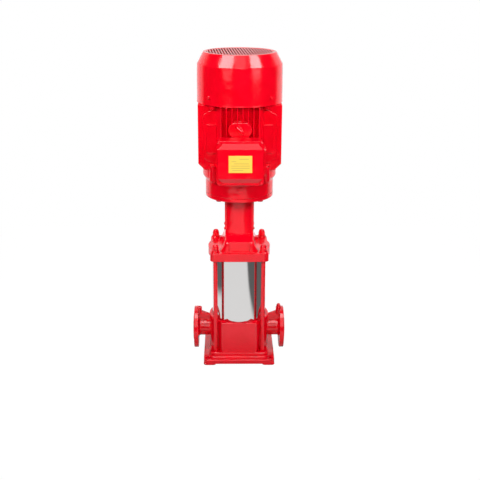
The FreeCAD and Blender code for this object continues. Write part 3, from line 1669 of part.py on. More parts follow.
def front_plate(half_x, half_z, corner, back, front):
    """Upright plate in front of the motor, between two distances from the shaft axis."""
    return facing_front(rounded_plate(half_x, half_z, corner, back, front), box_centre_height)


def entry_place():
    """Distance of the cable entry in front of the shaft axis."""
    return box_face() - entry_setback


def terminal_box():
    """Cast terminal box, open in front, with the cable entry boss on its right side."""
    shell = front_plate(box_half_width, box_half_height, box_corner, box_back, box_face())
    boss = rounded_plate(entry_half_height, entry_half_width, entry_corner, box_half_width - entry_sink,
                         box_half_width + entry_proud)
    boss.rotate(V(0, 0, 0), ALONG_Y, 90)
    boss.translate(V(0, -entry_place(), box_centre_height))
    shell = shell.fuse(boss)
    cuts = [front_plate(box_half_width - box_wall, box_half_height - box_wall, box_corner - box_wall,
                        box_back + box_wall, box_face() + MARGIN),
            front_plate(pedestal_inner, pedestal_inner, box_corner, box_back - MARGIN,
                        box_back + box_wall + MARGIN),
            bar(entry_radius, V(box_half_width - entry_bore_inset, -entry_place(), box_centre_height),
                ALONG_X,
                entry_bore_length)]
    posts = []
    for x, z in lid_screw_places():
        post = bar(lid_screw_radius + lid_post_wall, V(x, -box_face(), z), ALONG_Y, box_depth - MARGIN)
        posts.append(post.common(front_plate(box_half_width, box_half_height, box_corner, box_back,
                                             box_face())))
        cuts.append(bar(lid_screw_radius + thread_gap, V(x, -box_face() - MARGIN, z), ALONG_Y,
                        lid_screw_depth))
    shell = shell.cut(cuts[:3]).fuse(posts)
    return shell.cut(cuts[3:]).removeSplitter()


def lid_screw_places():
    """Corner screws of the lid, as (x, z)."""
    half_x = lid_half_width - lid_screw_inset
    half_z = lid_half_height - lid_screw_inset
    return [(side_x * half_x, box_centre_height + side_z * half_z) for side_x, side_z in CORNERS]


def terminal_box_gasket():
    """Flat gasket under the lid."""
    low = box_face()
    plate = front_plate(box_half_width, box_half_height, box_corner, low, low + box_gasket)
    cuts = [front_plate(box_half_width - box_wall, box_half_height - box_wall, box_corner - box_wall,
                        low - MARGIN, low + box_gasket + MARGIN)]
    corners = []
    for x, z in lid_screw_places():
        post = bar(lid_screw_radius + lid_post_wall, V(x, -low - box_gasket, z), ALONG_Y, box_gasket)
        corners.append(post.common(plate))
        cuts.append(bar(lid_screw_radius + slip, V(x, -low - box_gasket - MARGIN, z), ALONG_Y,
                        box_gasket + 2 * MARGIN))
    return plate.cut(cuts[:1]).fuse(corners).cut(cuts[1:]).removeSplitter()


def terminal_box_lid():
    """Lid with a raised field, sloped at top and bottom and cut away at the screws."""
    back = box_face() + box_gasket
    plate = front_plate(lid_half_width, lid_half_height, lid_corner, back, back + lid_plate)
    half_x = lid_half_width - lid_side_rim
    half_z = lid_half_height - lid_end_rim
    start = back + lid_plate - MARGIN
    front = back + lid_plate + lid_rise
    outline = []
    for side_x, side_z in [(1, 1), (-1, 1), (-1, -1), (1, -1)]:
        near_top = (side_x * (half_x - lid_notch), side_z * half_z)
        near_side = (side_x * half_x, side_z * (half_z - lid_notch))
        outline += [near_side, near_top] if side_x * side_z > 0 else [near_top, near_side]
    points = [V(x, -start, box_centre_height + z) for x, z in outline]
    field = prism(points, V(0, start - front, 0))
    slopes = []
    for side in SIDES:
        edge = box_centre_height + side * half_z
        inner = edge - side * lid_bevel
        slopes.append(prism([V(-lid_half_width, -front - MARGIN, inner - side * lid_bevel / lid_rise),
                             V(-lid_half_width, -front - MARGIN, edge + side),
                             V(-lid_half_width, -start - MARGIN, edge + side),
                             V(-lid_half_width, -start - MARGIN, edge),
                             V(-lid_half_width, -front, inner)], V(2 * lid_half_width, 0, 0)))
    field = field.cut(slopes)
    holes = []
    for x, z in lid_screw_places():
        holes.append(bar(lid_screw_radius + slip, V(x, -front - MARGIN, z), ALONG_Y,
                         front - back + 2 * MARGIN))
        holes.append(bar(lid_screw_head_radius + screw_head_play, V(x, -front - MARGIN, z), ALONG_Y,
                         lid_rise + MARGIN))
    return plate.fuse(field).cut(holes).removeSplitter()


def lid_screws():
    """Screws of the terminal box lid."""
    screws = []
    under_head = box_face() + box_gasket + lid_plate
    for x, z in lid_screw_places():
        shank = bar(lid_screw_radius, V(x, -under_head - MARGIN, z), ALONG_Y,
                    under_head - box_face() + lid_screw_depth - lid_screw_tip_gap)
        head = bar(lid_screw_head_radius, V(x, -under_head - lid_screw_head, z), ALONG_Y, lid_screw_head)
        screws.append(shank.fuse(head).removeSplitter())
    return screws


def nameplate():
    """Bare plate on the middle of the lid."""
    low = box_face() + box_gasket + lid_plate + lid_rise
    return front_plate(nameplate_half_width, nameplate_half_height, nameplate_corner, low,
                       low + nameplate_thickness)


def terminal_block():
    """Insulating block on the back wall of the terminal box."""
    low = box_back + box_wall
    block = front_plate(block_half_width + block_ear_reach, block_half_height, block_corner, low,
                        low + block_ear_thickness)
    middle = front_plate(block_half_width, block_half_height, block_corner, low, low + block_thickness)
    block = block.fuse(middle).removeSplitter()
    holes = []
    for x, z in stud_places():
        holes.append(bar(stud_radius + thread_gap, V(x, -low - block_thickness - MARGIN, z), ALONG_Y,
                         block_thickness - 2))
    return block.cut(holes)


def stud_places():
    """Six terminal studs, as (x, z)."""
    return [(stud_pitch * (column - 1), box_centre_height + stud_row * (row - 0.5))
            for column in range(3) for row in range(2)]


def terminal_studs():
    """Terminal studs with their nuts."""
    low = box_back + box_wall
    face = low + block_thickness
    studs = []
    for x, z in stud_places():
        stud = bar(stud_radius, V(x, -face - stud_rise, z), ALONG_Y, stud_rise + block_thickness - 5)
        nut = hex_bar(stud_nut_hex, face, face + stud_nut)
        nut.rotate(V(0, 0, 0), ALONG_X, 90)
        nut.translate(V(x, 0, z))
        studs.append(stud.fuse(nut).removeSplitter())
    return studs


def save(name, shape):
    """Write one piece, or a group of like pieces, under its node name."""
    if isinstance(shape, list):
        shape = shape[0] if len(shape) == 1 else Part.makeCompound(shape)
    print(name, "solids", len(shape.Solids), "volume", round(shape.Volume), "valid", shape.isValid())
    shape.exportStep("parts/" + name + ".step")


def main():
    """Make every piece of the pump and its motor."""
    os.makedirs("parts", exist_ok=True)
    save("pump_casing", pump_casing())
    save("gauge_plugs", gauge_plugs())
    save("drain_plug", drain_plug())
    save("sleeve_gaskets", sleeve_gaskets())
    save("outer_sleeve", outer_sleeve())
    save("suction_spider", suction_spider())
    save("lower_bearing_bush", lower_bearing_bush())
    save("upper_bearing_bush", upper_bearing_bush())
    for number in range(stage_count):
        save("stage_casing_" + str(number + 1), stage_casing(number))
        save("impeller_" + str(number + 1), impeller(number))
    save("stack_clamp_ring", stack_clamp_ring())
    save("impeller_spacers", impeller_spacers())
    save("impeller_nut", impeller_nut())
    save("pump_shaft", pump_shaft())
    save("tie_rods", tie_rods())
    save("tie_rod_washers", tie_rod_washers())
    save("tie_rod_nuts", tie_rod_nuts())
    save("motor_bracket", motor_bracket())
    save("seal_seat", seal_seat())
    save("seal_head", seal_head())
    save("seal_gland", seal_gland())
    save("seal_gland_screws", seal_gland_screws())
    save("coupling_guard_left", coupling_guard(-1))
    save("coupling_guard_right", coupling_guard(1))
    save("guard_screws", guard_screws())
    save("coupling_half_front", coupling_half(-1))
    save("coupling_half_rear", coupling_half(1))
    save("coupling_bolts", coupling_bolts())
    save("motor_flange_bolts", motor_flange_bolts())
    save("drive_end_shield", drive_end_shield())
    save("motor_frame", motor_frame())
    save("rear_end_shield", rear_end_shield())
    save("shield_bolts", shield_bolts())
    save("bearing_outer_rings", bearing_outer_rings())
    save("bearing_inner_rings", bearing_inner_rings())
    save("bearing_balls", bearing_balls())
    save("bearing_cages", bearing_cages())
    save("motor_shaft", motor_shaft())
    save("rotor_core", rotor_core())
    save("stator_core", stator_core())
    save("stator_windings", stator_windings())
    save("cooling_fan", cooling_fan())
    save("fan_cowl", fan_cowl())
    save("cowl_screws", cowl_screws())
    save("lifting_eyebolt", lifting_eyebolt())
    save("terminal_box", terminal_box())
    save("terminal_box_gasket", terminal_box_gasket())
    save("terminal_box_lid", terminal_box_lid())
    save("lid_screws", lid_screws())
    save("nameplate", nameplate())
    save("terminal_block", terminal_block())
    save("terminal_studs", terminal_studs())


main()
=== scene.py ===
# %% [markdown]
# # A red vertical pump, dressed
# The pump arrives as solid pieces at their real places, and they stay where they are. This lesson
# gives each piece its finish, and makes anew the few pieces whose shape shows more than their
# solid holds. Lengths are in metres, the shaft stands on the origin and the terminal box looks
# along -Y, towards the camera.

# %% Load the frame
import json
import math

import bpy
import numpy as np
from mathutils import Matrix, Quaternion, Vector


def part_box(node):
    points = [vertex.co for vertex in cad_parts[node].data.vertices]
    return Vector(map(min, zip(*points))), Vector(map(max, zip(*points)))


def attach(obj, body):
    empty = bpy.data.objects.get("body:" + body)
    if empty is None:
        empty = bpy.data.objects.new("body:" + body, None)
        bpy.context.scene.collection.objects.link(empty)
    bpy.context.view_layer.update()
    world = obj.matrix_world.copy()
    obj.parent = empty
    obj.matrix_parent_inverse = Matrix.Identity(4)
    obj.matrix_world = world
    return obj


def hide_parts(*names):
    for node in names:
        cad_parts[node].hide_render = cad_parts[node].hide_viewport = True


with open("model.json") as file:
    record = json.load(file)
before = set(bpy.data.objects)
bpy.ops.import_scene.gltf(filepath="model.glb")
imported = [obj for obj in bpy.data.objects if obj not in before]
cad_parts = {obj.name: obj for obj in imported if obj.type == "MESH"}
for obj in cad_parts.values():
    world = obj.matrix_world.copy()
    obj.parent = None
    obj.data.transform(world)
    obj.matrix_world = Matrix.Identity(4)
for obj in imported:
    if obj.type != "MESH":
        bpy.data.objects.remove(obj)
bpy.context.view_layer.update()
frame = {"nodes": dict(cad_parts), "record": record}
MM = 0.001

# %% [markdown]
# ## Camera
# The picture was taken from about three metres, a little above the motor, with a long lens, so the
# port flanges still show as narrow ellipses. The place and tilt were fitted to edges whose real
# size is known: the flanges, the foot and the rim of the cowl. A long lens is given by its focal
# length on a 36 mm wide sensor. The photographer held the camera a fifth of a degree askew.

# %% Camera
LENS, SENSOR_WIDTH, PICTURE_WIDTH = 61.8, 36.0, 480
EYE = Vector((-0.042, -3.016, 1.512))
AIM = Vector((0.0132, 0.945, -0.327))
SIDE_SHIFT = 0.85 / PICTURE_WIDTH
ROLL = 0.0038

camera_data = bpy.data.cameras.new("camera")
camera_data.lens = LENS
camera_data.sensor_width = SENSOR_WIDTH
camera_data.shift_x = SIDE_SHIFT
camera = bpy.data.objects.new("camera", camera_data)
camera.location = EYE
camera.rotation_euler = (AIM.to_track_quat("-Z", "Y") @ Quaternion((0, 0, 1), ROLL)).to_euler()
bpy.context.scene.collection.objects.link(camera)
bpy.context.scene.camera = camera
bpy.context.scene.view_settings.view_transform = "Standard"
print("camera", [round(x, 3) for x in camera.location])

# %% [markdown]
# ## Grids
# Most new pieces are surfaces over a grid of two parameters. One parameter runs along rows, the
# other along columns, and the faces only depend on the grid's size. So one helper lists the faces,
# another puts points and faces into a mesh, and every piece is then a formula for its points.

# %% Grid helpers
def full_turn(count):
    """Angles of equal steps round a circle."""
    return np.arange(count) * 2 * math.pi / count


def grid_faces(rows, columns, close_rows=False, close_columns=False):
    """Quads of a grid whose point (i, j) is number i * columns + j. A closed side joins its ends."""
    i = np.arange(rows if close_rows else rows - 1)
    j = np.arange(columns if close_columns else columns - 1)
    i, j = np.meshgrid(i, j, indexing="ij")
    next_i, next_j = (i + 1) % rows, (j + 1) % columns
    corners = (i * columns + j, i * columns + next_j, next_i * columns + next_j, next_i * columns + j)
    return np.stack(corners, -1).reshape(-1, 4)


def repeated_faces(faces, copies, points_each):
    """The same faces for every copy of a set of points that follow one another."""
    return (faces[None] + (np.arange(copies) * points_each)[:, None, None]).reshape(-1, 4)


def make_mesh(name, points, faces):
    """Smooth object at the origin with these points and quads."""
    mesh = bpy.data.meshes.new(name)
    mesh.from_pydata(np.asarray(points).reshape(-1, 3).tolist(), [], np.asarray(faces).tolist())
    mesh.polygons.foreach_set("use_smooth", np.full(len(mesh.polygons), True))
    mesh.update()
    piece = bpy.data.objects.new(name, mesh)
    bpy.context.scene.collection.objects.link(piece)
    return piece


# %% [markdown]
# ## Values in a node tree
# A node tree is a sum written as boxes and wires. Two short helpers write the boxes that this scene
# needs again and again: one joins two values by an operation, the other maps a range to a range.

# %% Node helpers
def empty_material(name):
    """Node material that holds no node yet."""
    material = bpy.data.materials.new(name)
    material.use_nodes = True
    material.node_tree.nodes.clear()
    return material


def maths(tree, operation, first, second):
    """Two values joined by an operation. Each is a socket or a plain number."""
    node = tree.nodes.new("ShaderNodeMath")
    node.operation = operation
    for socket, value in zip(node.inputs, (first, second)):
        if isinstance(value, (int, float)):
            socket.default_value = value
        else:
            tree.links.new(value, socket)
    return node.outputs[0]


def ramp(tree, value, start, end, low=0.0, high=1.0):
    """The low value up to the start, the high one from the end on, and straight between them."""
    node = tree.nodes.new("ShaderNodeMapRange")
    for name, number in (("From Min", start), ("From Max", end), ("To Min", low), ("To Max", high)):
        node.inputs[name].default_value = number
    tree.links.new(value, node.inputs["Value"])
    return node.outputs[0]


def window(tree, value, edges, level=1.0):
    """Rises to the level between the first two edges and falls again between the last two."""
    rise = ramp(tree, value, edges[0], edges[1])
    return maths(tree, "MULTIPLY", rise, ramp(tree, value, edges[2], edges[3], level, 0.0))


def axes_of(tree, place):
    """The three components of a place or a direction."""
    axes = tree.nodes.new("ShaderNodeSeparateXYZ")
    tree.links.new(place, axes.inputs[0])
    return axes.outputs["X"], axes.outputs["Y"], axes.outputs["Z"]


# %% [markdown]
# ## Paper
# Small machines are photographed on white paper. Its real size matters: upright glossy walls mirror
# the paper in front as a pale band, and the band ends where the paper ends. The paper glows for the
# camera and for reflections, so the background stays white while the lamps stay soft, and the rest of
# its light is plain reflected light, which keeps the shadow under the foot. Behind the pump the white
# room takes over, and it can be walked round. In reflections the glow stops at slanted lines on both
# sides, a painted pool of light like the one on a real table. They give the mirror tube its dark sides.
# Round the foot the mirrored glow is painted weaker, as a painted shadow of the pump.

# %% Paper
PAPER_FRONT, PAPER_BACK, PAPER_HALF_WIDTH = -2.7, 1.6, 1.32
PAPER_COLUMNS, PAPER_ROWS = 9, 12
PAPER_GREY, GLOW, GLOW_SHARE = 0.55, 1.06, 0.93
POOL_RIGHT, POOL_SLANT, POOL_FADE = 0.32, 0.27, 0.12
LEFT_OFFSET, LEFT_SLANT, LEFT_NEAR, DIM = 0.39, 1.57, 0.68, 0.13
# painted shadow of the pump in the mirrored glow: its level, and the radii where it starts and ends
SHADE, SHADE_RADIUS, SHADE_END = 0.35, 0.2, 0.4
BEHIND_START, BEHIND_END = 0.35, 0.6

paper_x, paper_y = np.meshgrid(np.linspace(-PAPER_HALF_WIDTH, PAPER_HALF_WIDTH, PAPER_COLUMNS),
                               np.linspace(PAPER_FRONT, PAPER_BACK, PAPER_ROWS))
paper_points = np.stack([paper_x, paper_y, np.zeros_like(paper_x)], -1)
paper = make_mesh("paper", paper_points, grid_faces(PAPER_ROWS, PAPER_COLUMNS))


def pool_of_light(tree, place):
    """Share of the glow in reflections: a painted pool of light, whole in it and far behind, dim outside,
    with a painted shadow at the foot.
    """
    x, y, _ = axes_of(tree, place)
    from_axis = tree.nodes.new("ShaderNodeVectorMath")
    from_axis.operation = "LENGTH"
    tree.links.new(place, from_axis.inputs[0])
    beyond_right = maths(tree, "ADD", x, maths(tree, "MULTIPLY", y, POOL_SLANT))
    beyond_left = maths(tree, "SUBTRACT", maths(tree, "MULTIPLY", y, LEFT_SLANT), x)
    right = ramp(tree, beyond_right, POOL_RIGHT, POOL_RIGHT + POOL_FADE, 1.0, DIM)
    left = ramp(tree, beyond_left, LEFT_OFFSET, LEFT_OFFSET + POOL_FADE, 1.0, DIM)
    near_left = ramp(tree, x, -LEFT_NEAR - POOL_FADE, -LEFT_NEAR, DIM, 1.0)
    pool = maths(tree, "MINIMUM", right, maths(tree, "MAXIMUM", left, near_left))
    # painted shadow: the mirrored glow drops to SHADE round the foot
    painted_shadow_at_foot = ramp(tree, from_axis.outputs["Value"], SHADE_RADIUS, SHADE_END, SHADE, 1.0)
    behind = ramp(tree, y, BEHIND_START, BEHIND_END)
    return maths(tree, "MAXIMUM", maths(tree, "MULTIPLY", pool, painted_shadow_at_foot), behind)


paper_material = empty_material("paper")
tree = paper_material.node_tree
matte = tree.nodes.new("ShaderNodeBsdfDiffuse")
matte.inputs["Color"].default_value = (PAPER_GREY, PAPER_GREY, PAPER_GREY, 1)
glow = tree.nodes.new("ShaderNodeEmission")
blend = tree.nodes.new("ShaderNodeMixShader")
output = tree.nodes.new("ShaderNodeOutputMaterial")
place = tree.nodes.new("ShaderNodeTexCoord").outputs["Object"]
path = tree.nodes.new("ShaderNodeLightPath").outputs
mirrored = maths(tree, "MAXIMUM", path["Is Glossy Ray"], path["Is Transmission Ray"])
seen = maths(tree, "MAXIMUM", path["Is Camera Ray"], mirrored)
brightness = maths(tree, "MAXIMUM", path["Is Camera Ray"], pool_of_light(tree, place))
tree.links.new(maths(tree, "MULTIPLY", brightness, GLOW), glow.inputs["Strength"])
tree.links.new(maths(tree, "MULTIPLY", seen, GLOW_SHARE), blend.inputs[0])
tree.links.new(matte.outputs[0], blend.inputs[1])
tree.links.new(glow.outputs[0], blend.inputs[2])
tree.links.new(blend.outputs[0], output.inputs["Surface"])
paper.data.materials.append(paper_material)
print("paper", 2 * PAPER_HALF_WIDTH, "by", PAPER_BACK - PAPER_FRONT, "m")

# %% [markdown]
# ## Lamps
# Gloss paint shows the lamps themselves, so the lamps that are mirrored and the lamps that light are
# kept apart. The mirrored ones are four soft boxes: two high on the left and right draw the two pale
# patches on the slope of the cowl, one in the middle and one above put a thin veil between them. They
# carry no light for matt surfaces. Five other boxes do that and can't be seen in the paint. Their
# light is spread less than a bare lamp's, so it weakens towards the foot.

# %% Lamps
MOTOR_HEIGHT = 0.95
FILL_SPREAD = math.radians(60)

# name, azimuth, elevation, distance, width, height and power
MIRRORED = (("left_box", -45, 47, 3.0, 1.5, 1.2, 64), ("right_box", 51, 47, 3.0, 1.25, 1.2, 54),
            ("middle_box", 0, 33, 3.3, 1.5, 3.2, 24), ("top_box", 0, 82, 2.4, 2.2, 1.7, 80))
LIGHTING = (("left_fill", -52, 28, 3.0, 1.6, 1.0, 7.9), ("right_fill", 52, 28, 3.0, 1.6, 1.0, 7.9),
            ("front_fill", 0, 22, 3.0, 1.6, 1.0, 6.2), ("left_rim", -125, 15, 3.0, 1.6, 1.0, 4.6),
            ("right_rim", 125, 15, 3.0, 1.6, 1.0, 4.6))


def soft_box(name, azimuth, elevation, distance, width, height, power):
    """Rectangular lamp on a sphere round the motor, looking at it. Azimuth 0 is the camera's side."""
    lamp = bpy.data.lights.new(name, "AREA")
    lamp.shape = "RECTANGLE"
    lamp.size, lamp.size_y, lamp.energy = width, height, power
    a, e = math.radians(azimuth), math.radians(elevation)
    out = Vector((math.sin(a) * math.cos(e), -math.cos(a) * math.cos(e), math.sin(e)))
    box = bpy.data.objects.new(name, lamp)
    box.location = Vector((0, 0, MOTOR_HEIGHT)) + out * distance
    box.rotation_euler = (-out).to_track_quat("-Z", "Y").to_euler()
    box.visible_camera = False
    bpy.context.scene.collection.objects.link(box)
    return box


for lamp in MIRRORED:
    soft_box(*lamp).visible_diffuse = False
for lamp in LIGHTING:
    fill = soft_box(*lamp)
    fill.visible_glossy = False
    fill.data.spread = FILL_SPREAD

# %% [markdown]
# ## Room
# Upright paint mirrors the room at the height of the eye. It is dim in front, which keeps the full
# red, and bright behind the pump, where it shows as a thin pale rim along every round edge. Two low
# patches at the sides in front do the same for the edges that face the camera. All this is worked out
# from the direction alone, and the camera itself sees plain white.

# %% Room
ROOM_GREY, WALL_EDGES = 0.03, (0.35, 0.55)
LEFT_PATCH, LEFT_EDGES = 1.6, (-0.74, -0.64, -0.42, -0.30)
RIGHT_PATCH, RIGHT_EDGES = 2.4, (0.50, 0.60, 0.78, 0.86)
BAND_EDGES, FRONT_EDGES = (-0.12, -0.09, 0.0, 0.12), (-0.1, 0.1)

world = bpy.data.worlds.new("room")
bpy.context.scene.world = world
world.use_nodes = True
tree = world.node_tree
tree.nodes.clear()
room = tree.nodes.new("ShaderNodeBackground")
white = tree.nodes.new("ShaderNodeBackground")
white.inputs["Strength"].default_value = 1.0
white.inputs["Color"].default_value = (1, 1, 1, 1)
choose = tree.nodes.new("ShaderNodeMixShader")
output = tree.nodes.new("ShaderNodeOutputWorld")
side, depth, height = axes_of(tree, tree.nodes.new("ShaderNodeTexCoord").outputs["Generated"])

wall = ramp(tree, depth, *WALL_EDGES, ROOM_GREY, 1.0)
in_front = ramp(tree, depth, *FRONT_EDGES, 1.0, 0.0)
patches = maths(tree, "ADD", window(tree, side, LEFT_EDGES, LEFT_PATCH),
                window(tree, side, RIGHT_EDGES, RIGHT_PATCH))
low_band = maths(tree, "MULTIPLY", window(tree, height, BAND_EDGES), in_front)
room_light = maths(tree, "ADD", wall, maths(tree, "MULTIPLY", patches, low_band))
tree.links.new(room_light, room.inputs["Color"])
tree.links.new(tree.nodes.new("ShaderNodeLightPath").outputs["Is Camera Ray"], choose.inputs[0])
tree.links.new(room.outputs[0], choose.inputs[1])
tree.links.new(white.outputs[0], choose.inputs[2])
tree.links.new(choose.outputs[0], output.inputs["Surface"])
print("room nodes", len(tree.nodes))


# %% [markdown]
# ## Patterns for finishes
# A finish is more than a colour: paint pools, castings are lumpy, turned steel has rings. All these
# come from noise that is read at the piece's own coordinates in metres, so the scale of a pattern is
# a real size. `noise` gives such a pattern, `vary_color` and `vary_roughness` spread it over a range
# and `bump` turns it into relief.

# %% Pattern helpers
NOISE_LOW, NOISE_HIGH = 0.3, 0.7
BEVEL_SAMPLES = 4


class Finish:
    """A Principled material with short ways to add patterns to it."""

    def __init__(self, name, color, roughness, metallic=0.0):
        self.material = empty_material(name)
        self.tree = self.material.node_tree
        self.nodes, self.links = self.tree.nodes, self.tree.links
        self.shader = self.nodes.new("ShaderNodeBsdfPrincipled")
        output = self.nodes.new("ShaderNodeOutputMaterial")
        self.links.new(self.shader.outputs[0], output.inputs["Surface"])
        self.place = self.nodes.new("ShaderNodeTexCoord").outputs["Object"]
        self.color = color
        self.shader.inputs["Base Color"].default_value = (*color, 1)
        self.shader.inputs["Roughness"].default_value = roughness
        self.shader.inputs["Metallic"].default_value = metallic

    def noise(self, size, stretch=(1, 1, 1), detail=2.0):
        """Noise whose blobs are about `size` metres wide, stretched along the axes."""
        scaled = self.nodes.new("ShaderNodeVectorMath")
        scaled.operation = "MULTIPLY"
        scaled.inputs[1].default_value = [1 / (size * s) for s in stretch]
        pattern = self.nodes.new("ShaderNodeTexNoise")
        pattern.inputs["Scale"].default_value = 1.0
        pattern.inputs["Detail"].default_value = detail
        self.links.new(self.place, scaled.inputs[0])
        self.links.new(scaled.outputs[0], pattern.inputs["Vector"])
        return pattern.outputs["Fac"]

    def blend_color(self, other, share):
        """Blend from the finish's colour to another by a share from 0 to 1."""
        mix = self.nodes.new("ShaderNodeMix")
        mix.data_type = "RGBA"
        mix.inputs["A"].default_value = (*self.color, 1)
        mix.inputs["B"].default_value = (*other, 1)
        self.links.new(share, mix.inputs["Factor"])
        self.links.new(mix.outputs["Result"], self.shader.inputs["Base Color"])

    def vary_color(self, other, value):
        """Another colour where the noise is high."""
        self.blend_color(other, ramp(self.tree, value, NOISE_LOW, NOISE_HIGH))

    def vary_roughness(self, value, low, high):
        """Roughness that follows the noise."""
        spread = ramp(self.tree, value, NOISE_LOW, NOISE_HIGH, low, high)
        self.links.new(spread, self.shader.inputs["Roughness"])

    def bump(self, reliefs, edge=0.0):
        """Stack reliefs, each a pattern and its height, on normals rounded over `edge` metres."""
        normal = None
        if edge:
            soft = self.nodes.new("ShaderNodeBevel")
            soft.samples = BEVEL_SAMPLES
            soft.inputs["Radius"].default_value = edge
            normal = soft.outputs[0]
        for value, depth in reliefs:
            relief = self.nodes.new("ShaderNodeBump")
            relief.inputs["Distance"].default_value = depth
            self.links.new(value, relief.inputs["Height"])
            if normal:
                self.links.new(normal, relief.inputs["Normal"])
            normal = relief.outputs[0]
        self.links.new(normal, self.shader.inputs["Normal"])


# %% [markdown]
# ## Red paint
# The castings are filled, primed and sprayed with glossy signal red. Three things tell paint on iron
# from coloured plastic: a hard clear gloss, the broad lumps of the casting under it and the fine
# orange peel of the spray. The sheet cowl gets the same colour with flatter lumps, since pressed
# sheet is smoother than sand-cast iron.

# %% Red paint
SIGNAL_RED, DEEP_RED = (0.86, 0.0, 0.013), (0.80, 0.0, 0.009)
PAINT_ROUGHNESS, GLOSSY, DULL = 0.14, 0.09, 0.18
POOLING, GLOSS_DRIFT = 60 * MM, 25 * MM
LUMP, RIPPLE, RIPPLE_SHARE = 45 * MM, 14 * MM, 0.2
PEEL, PEEL_DEPTH = 2.2 * MM, 0.03 * MM
CAST_LUMPS, CAST_EDGE = 1.6 * MM, 3.2 * MM
SHEET_LUMPS, SHEET_EDGE = 1.2 * MM, 1.0 * MM


def red_paint(name, lump_depth, edge):
    """Glossy enamel: broad lumps, ripples, orange peel, and edges softened by the paint."""
    paint = Finish(name, SIGNAL_RED, PAINT_ROUGHNESS)
    paint.vary_color(DEEP_RED, paint.noise(POOLING))
    paint.vary_roughness(paint.noise(GLOSS_DRIFT), GLOSSY, DULL)
    paint.bump([(paint.noise(LUMP), lump_depth), (paint.noise(RIPPLE), lump_depth * RIPPLE_SHARE),
                (paint.noise(PEEL, detail=1.0), PEEL_DEPTH)], edge)
    return paint.material


cast_red = red_paint("red_paint_on_castings", CAST_LUMPS, CAST_EDGE)
sheet_red = red_paint("red_paint_on_sheet", SHEET_LUMPS, SHEET_EDGE)
print("paints", cast_red.name, sheet_red.name)

# %% [markdown]
# ## Metals
# The sleeve is a polished stainless tube: nearly a mirror, with faint rings left by the polishing
# wheel. Turned pieces have clear rings, pressings are satin, and bearing steel is ground bright. The
# noise of the rings is wide along X and Y and short along Z, so it runs round the shaft.

# %% Metals
RING_STRETCH, STAIN, STAIN_STRETCH = (400, 400, 1), 30 * MM, (1, 1, 0.3)
METAL_EDGE, EVEN, UNEVEN = 0.3 * MM, 0.04, 0.06

# name: colour, roughness, pitch of the rings, their depth and how uneven the gloss is
METALS = {
    "polished_stainless": ((0.66, 0.65, 0.645), 0.08, 0.5 * MM, 0.004 * MM, EVEN),
    "stainless_pressing": ((0.66, 0.66, 0.65), 0.30, 1.5 * MM, 0.02 * MM, UNEVEN),
    "machined_steel": ((0.52, 0.52, 0.53), 0.28, 0.4 * MM, 0.02 * MM, UNEVEN),
    "bearing_steel": ((0.70, 0.70, 0.72), 0.12, 0.3 * MM, 0.005 * MM, UNEVEN),
    "electrical_steel": ((0.26, 0.26, 0.28), 0.45, 0.5 * MM, 0.12 * MM, UNEVEN),
    "bronze": ((0.60, 0.42, 0.20), 0.30, 0.5 * MM, 0.02 * MM, UNEVEN),
    "brass_stud": ((0.74, 0.56, 0.24), 0.22, 0.6 * MM, 0.03 * MM, UNEVEN),
    "copper_winding": ((0.62, 0.28, 0.12), 0.35, 1.2 * MM, 0.5 * MM, UNEVEN),
}


def ringed_metal(name, color, roughness, ring_pitch, ring_depth, uneven):
    """Metal with fine rings round the shaft and a gloss that drifts."""
    metal = Finish(name, color, roughness, 1.0)
    rings = metal.noise(ring_pitch, RING_STRETCH)
    metal.vary_roughness(metal.noise(STAIN, STAIN_STRETCH), roughness - uneven / 2, roughness + uneven)
    metal.bump([(rings, ring_depth)], METAL_EDGE)
    return metal.material


metals = {name: ringed_metal(name, *values) for name, values in METALS.items()}
print("metals", len(metals))

# %% [markdown]
# ## Rubber, plastics and painted shade
# Small parts inside are moulded. A gasket is matt and dusty, the fan is black plastic with a faint
# grain, the terminal block is a brown moulding. The inside of the cowl gets a darker matt red, a
# painted shade that makes the slots of the grille look dark.

# %% Rubber, plastics and painted shade
COLOR_DRIFT, DARKER, SHEEN_DRIFT = 20 * MM, 0.8, 6 * MM
SMOOTHER, ROUGHER, MOULD_EDGE = 0.06, 0.08, 0.4 * MM

# name: colour, roughness, size of the grain and its depth
MOULDINGS = {
    "gasket_rubber": ((0.03, 0.03, 0.032), 0.70, 0.8 * MM, 0.06 * MM),
    "carbon": ((0.04, 0.04, 0.043), 0.35, 0.5 * MM, 0.01 * MM),
    "fan_plastic": ((0.045, 0.045, 0.05), 0.45, 0.7 * MM, 0.05 * MM),
    "cage_plastic": ((0.78, 0.72, 0.56), 0.40, 0.6 * MM, 0.03 * MM),
    "block_plastic": ((0.30, 0.09, 0.04), 0.40, 0.6 * MM, 0.03 * MM),
    "plate_yellow": ((0.92, 0.62, 0.05), 0.32, 1.5 * MM, 0.02 * MM),
    # painted shade: a darker matt red for the inside of the cowl, so the slots look dark
    "painted_shade_cowl_inside": ((0.62, 0.0, 0.006), 0.70, 0.8 * MM, 0.05 * MM),
}


def moulded(name, color, roughness, grain, depth):
    """Moulded or sprayed matter with a fine grain and slight colour drift."""
    finish = Finish(name, color, roughness)
    finish.vary_color([c * DARKER for c in color], finish.noise(COLOR_DRIFT))
    finish.vary_roughness(finish.noise(SHEEN_DRIFT), roughness - SMOOTHER, roughness + ROUGHER)
    finish.bump([(finish.noise(grain, detail=3.0), depth)], MOULD_EDGE)
    return finish.material


mouldings = {name: moulded(name, *values) for name, values in MOULDINGS.items()}
print("mouldings", len(mouldings))

# %% [markdown]
# ## Dress the solids
# Each solid piece names the finish it is made of, and most finishes bear that name. Only red paint is
# chosen one by one, from a listed set of pieces, since sheet and castings differ.

# %% Dress the solids
SHEET_PIECES = ("fan_cowl", "coupling_guard_left", "coupling_guard_right")
by_slot = {"red_paint": cast_red} | metals | mouldings

for part in frame["record"]["subparts"]:
    piece = frame["nodes"][part["node"]]
    finish = sheet_red if part["node"] in SHEET_PIECES else by_slot[part["material_slot"]]
    piece.data.materials.clear()
    piece.data.materials.append(finish)
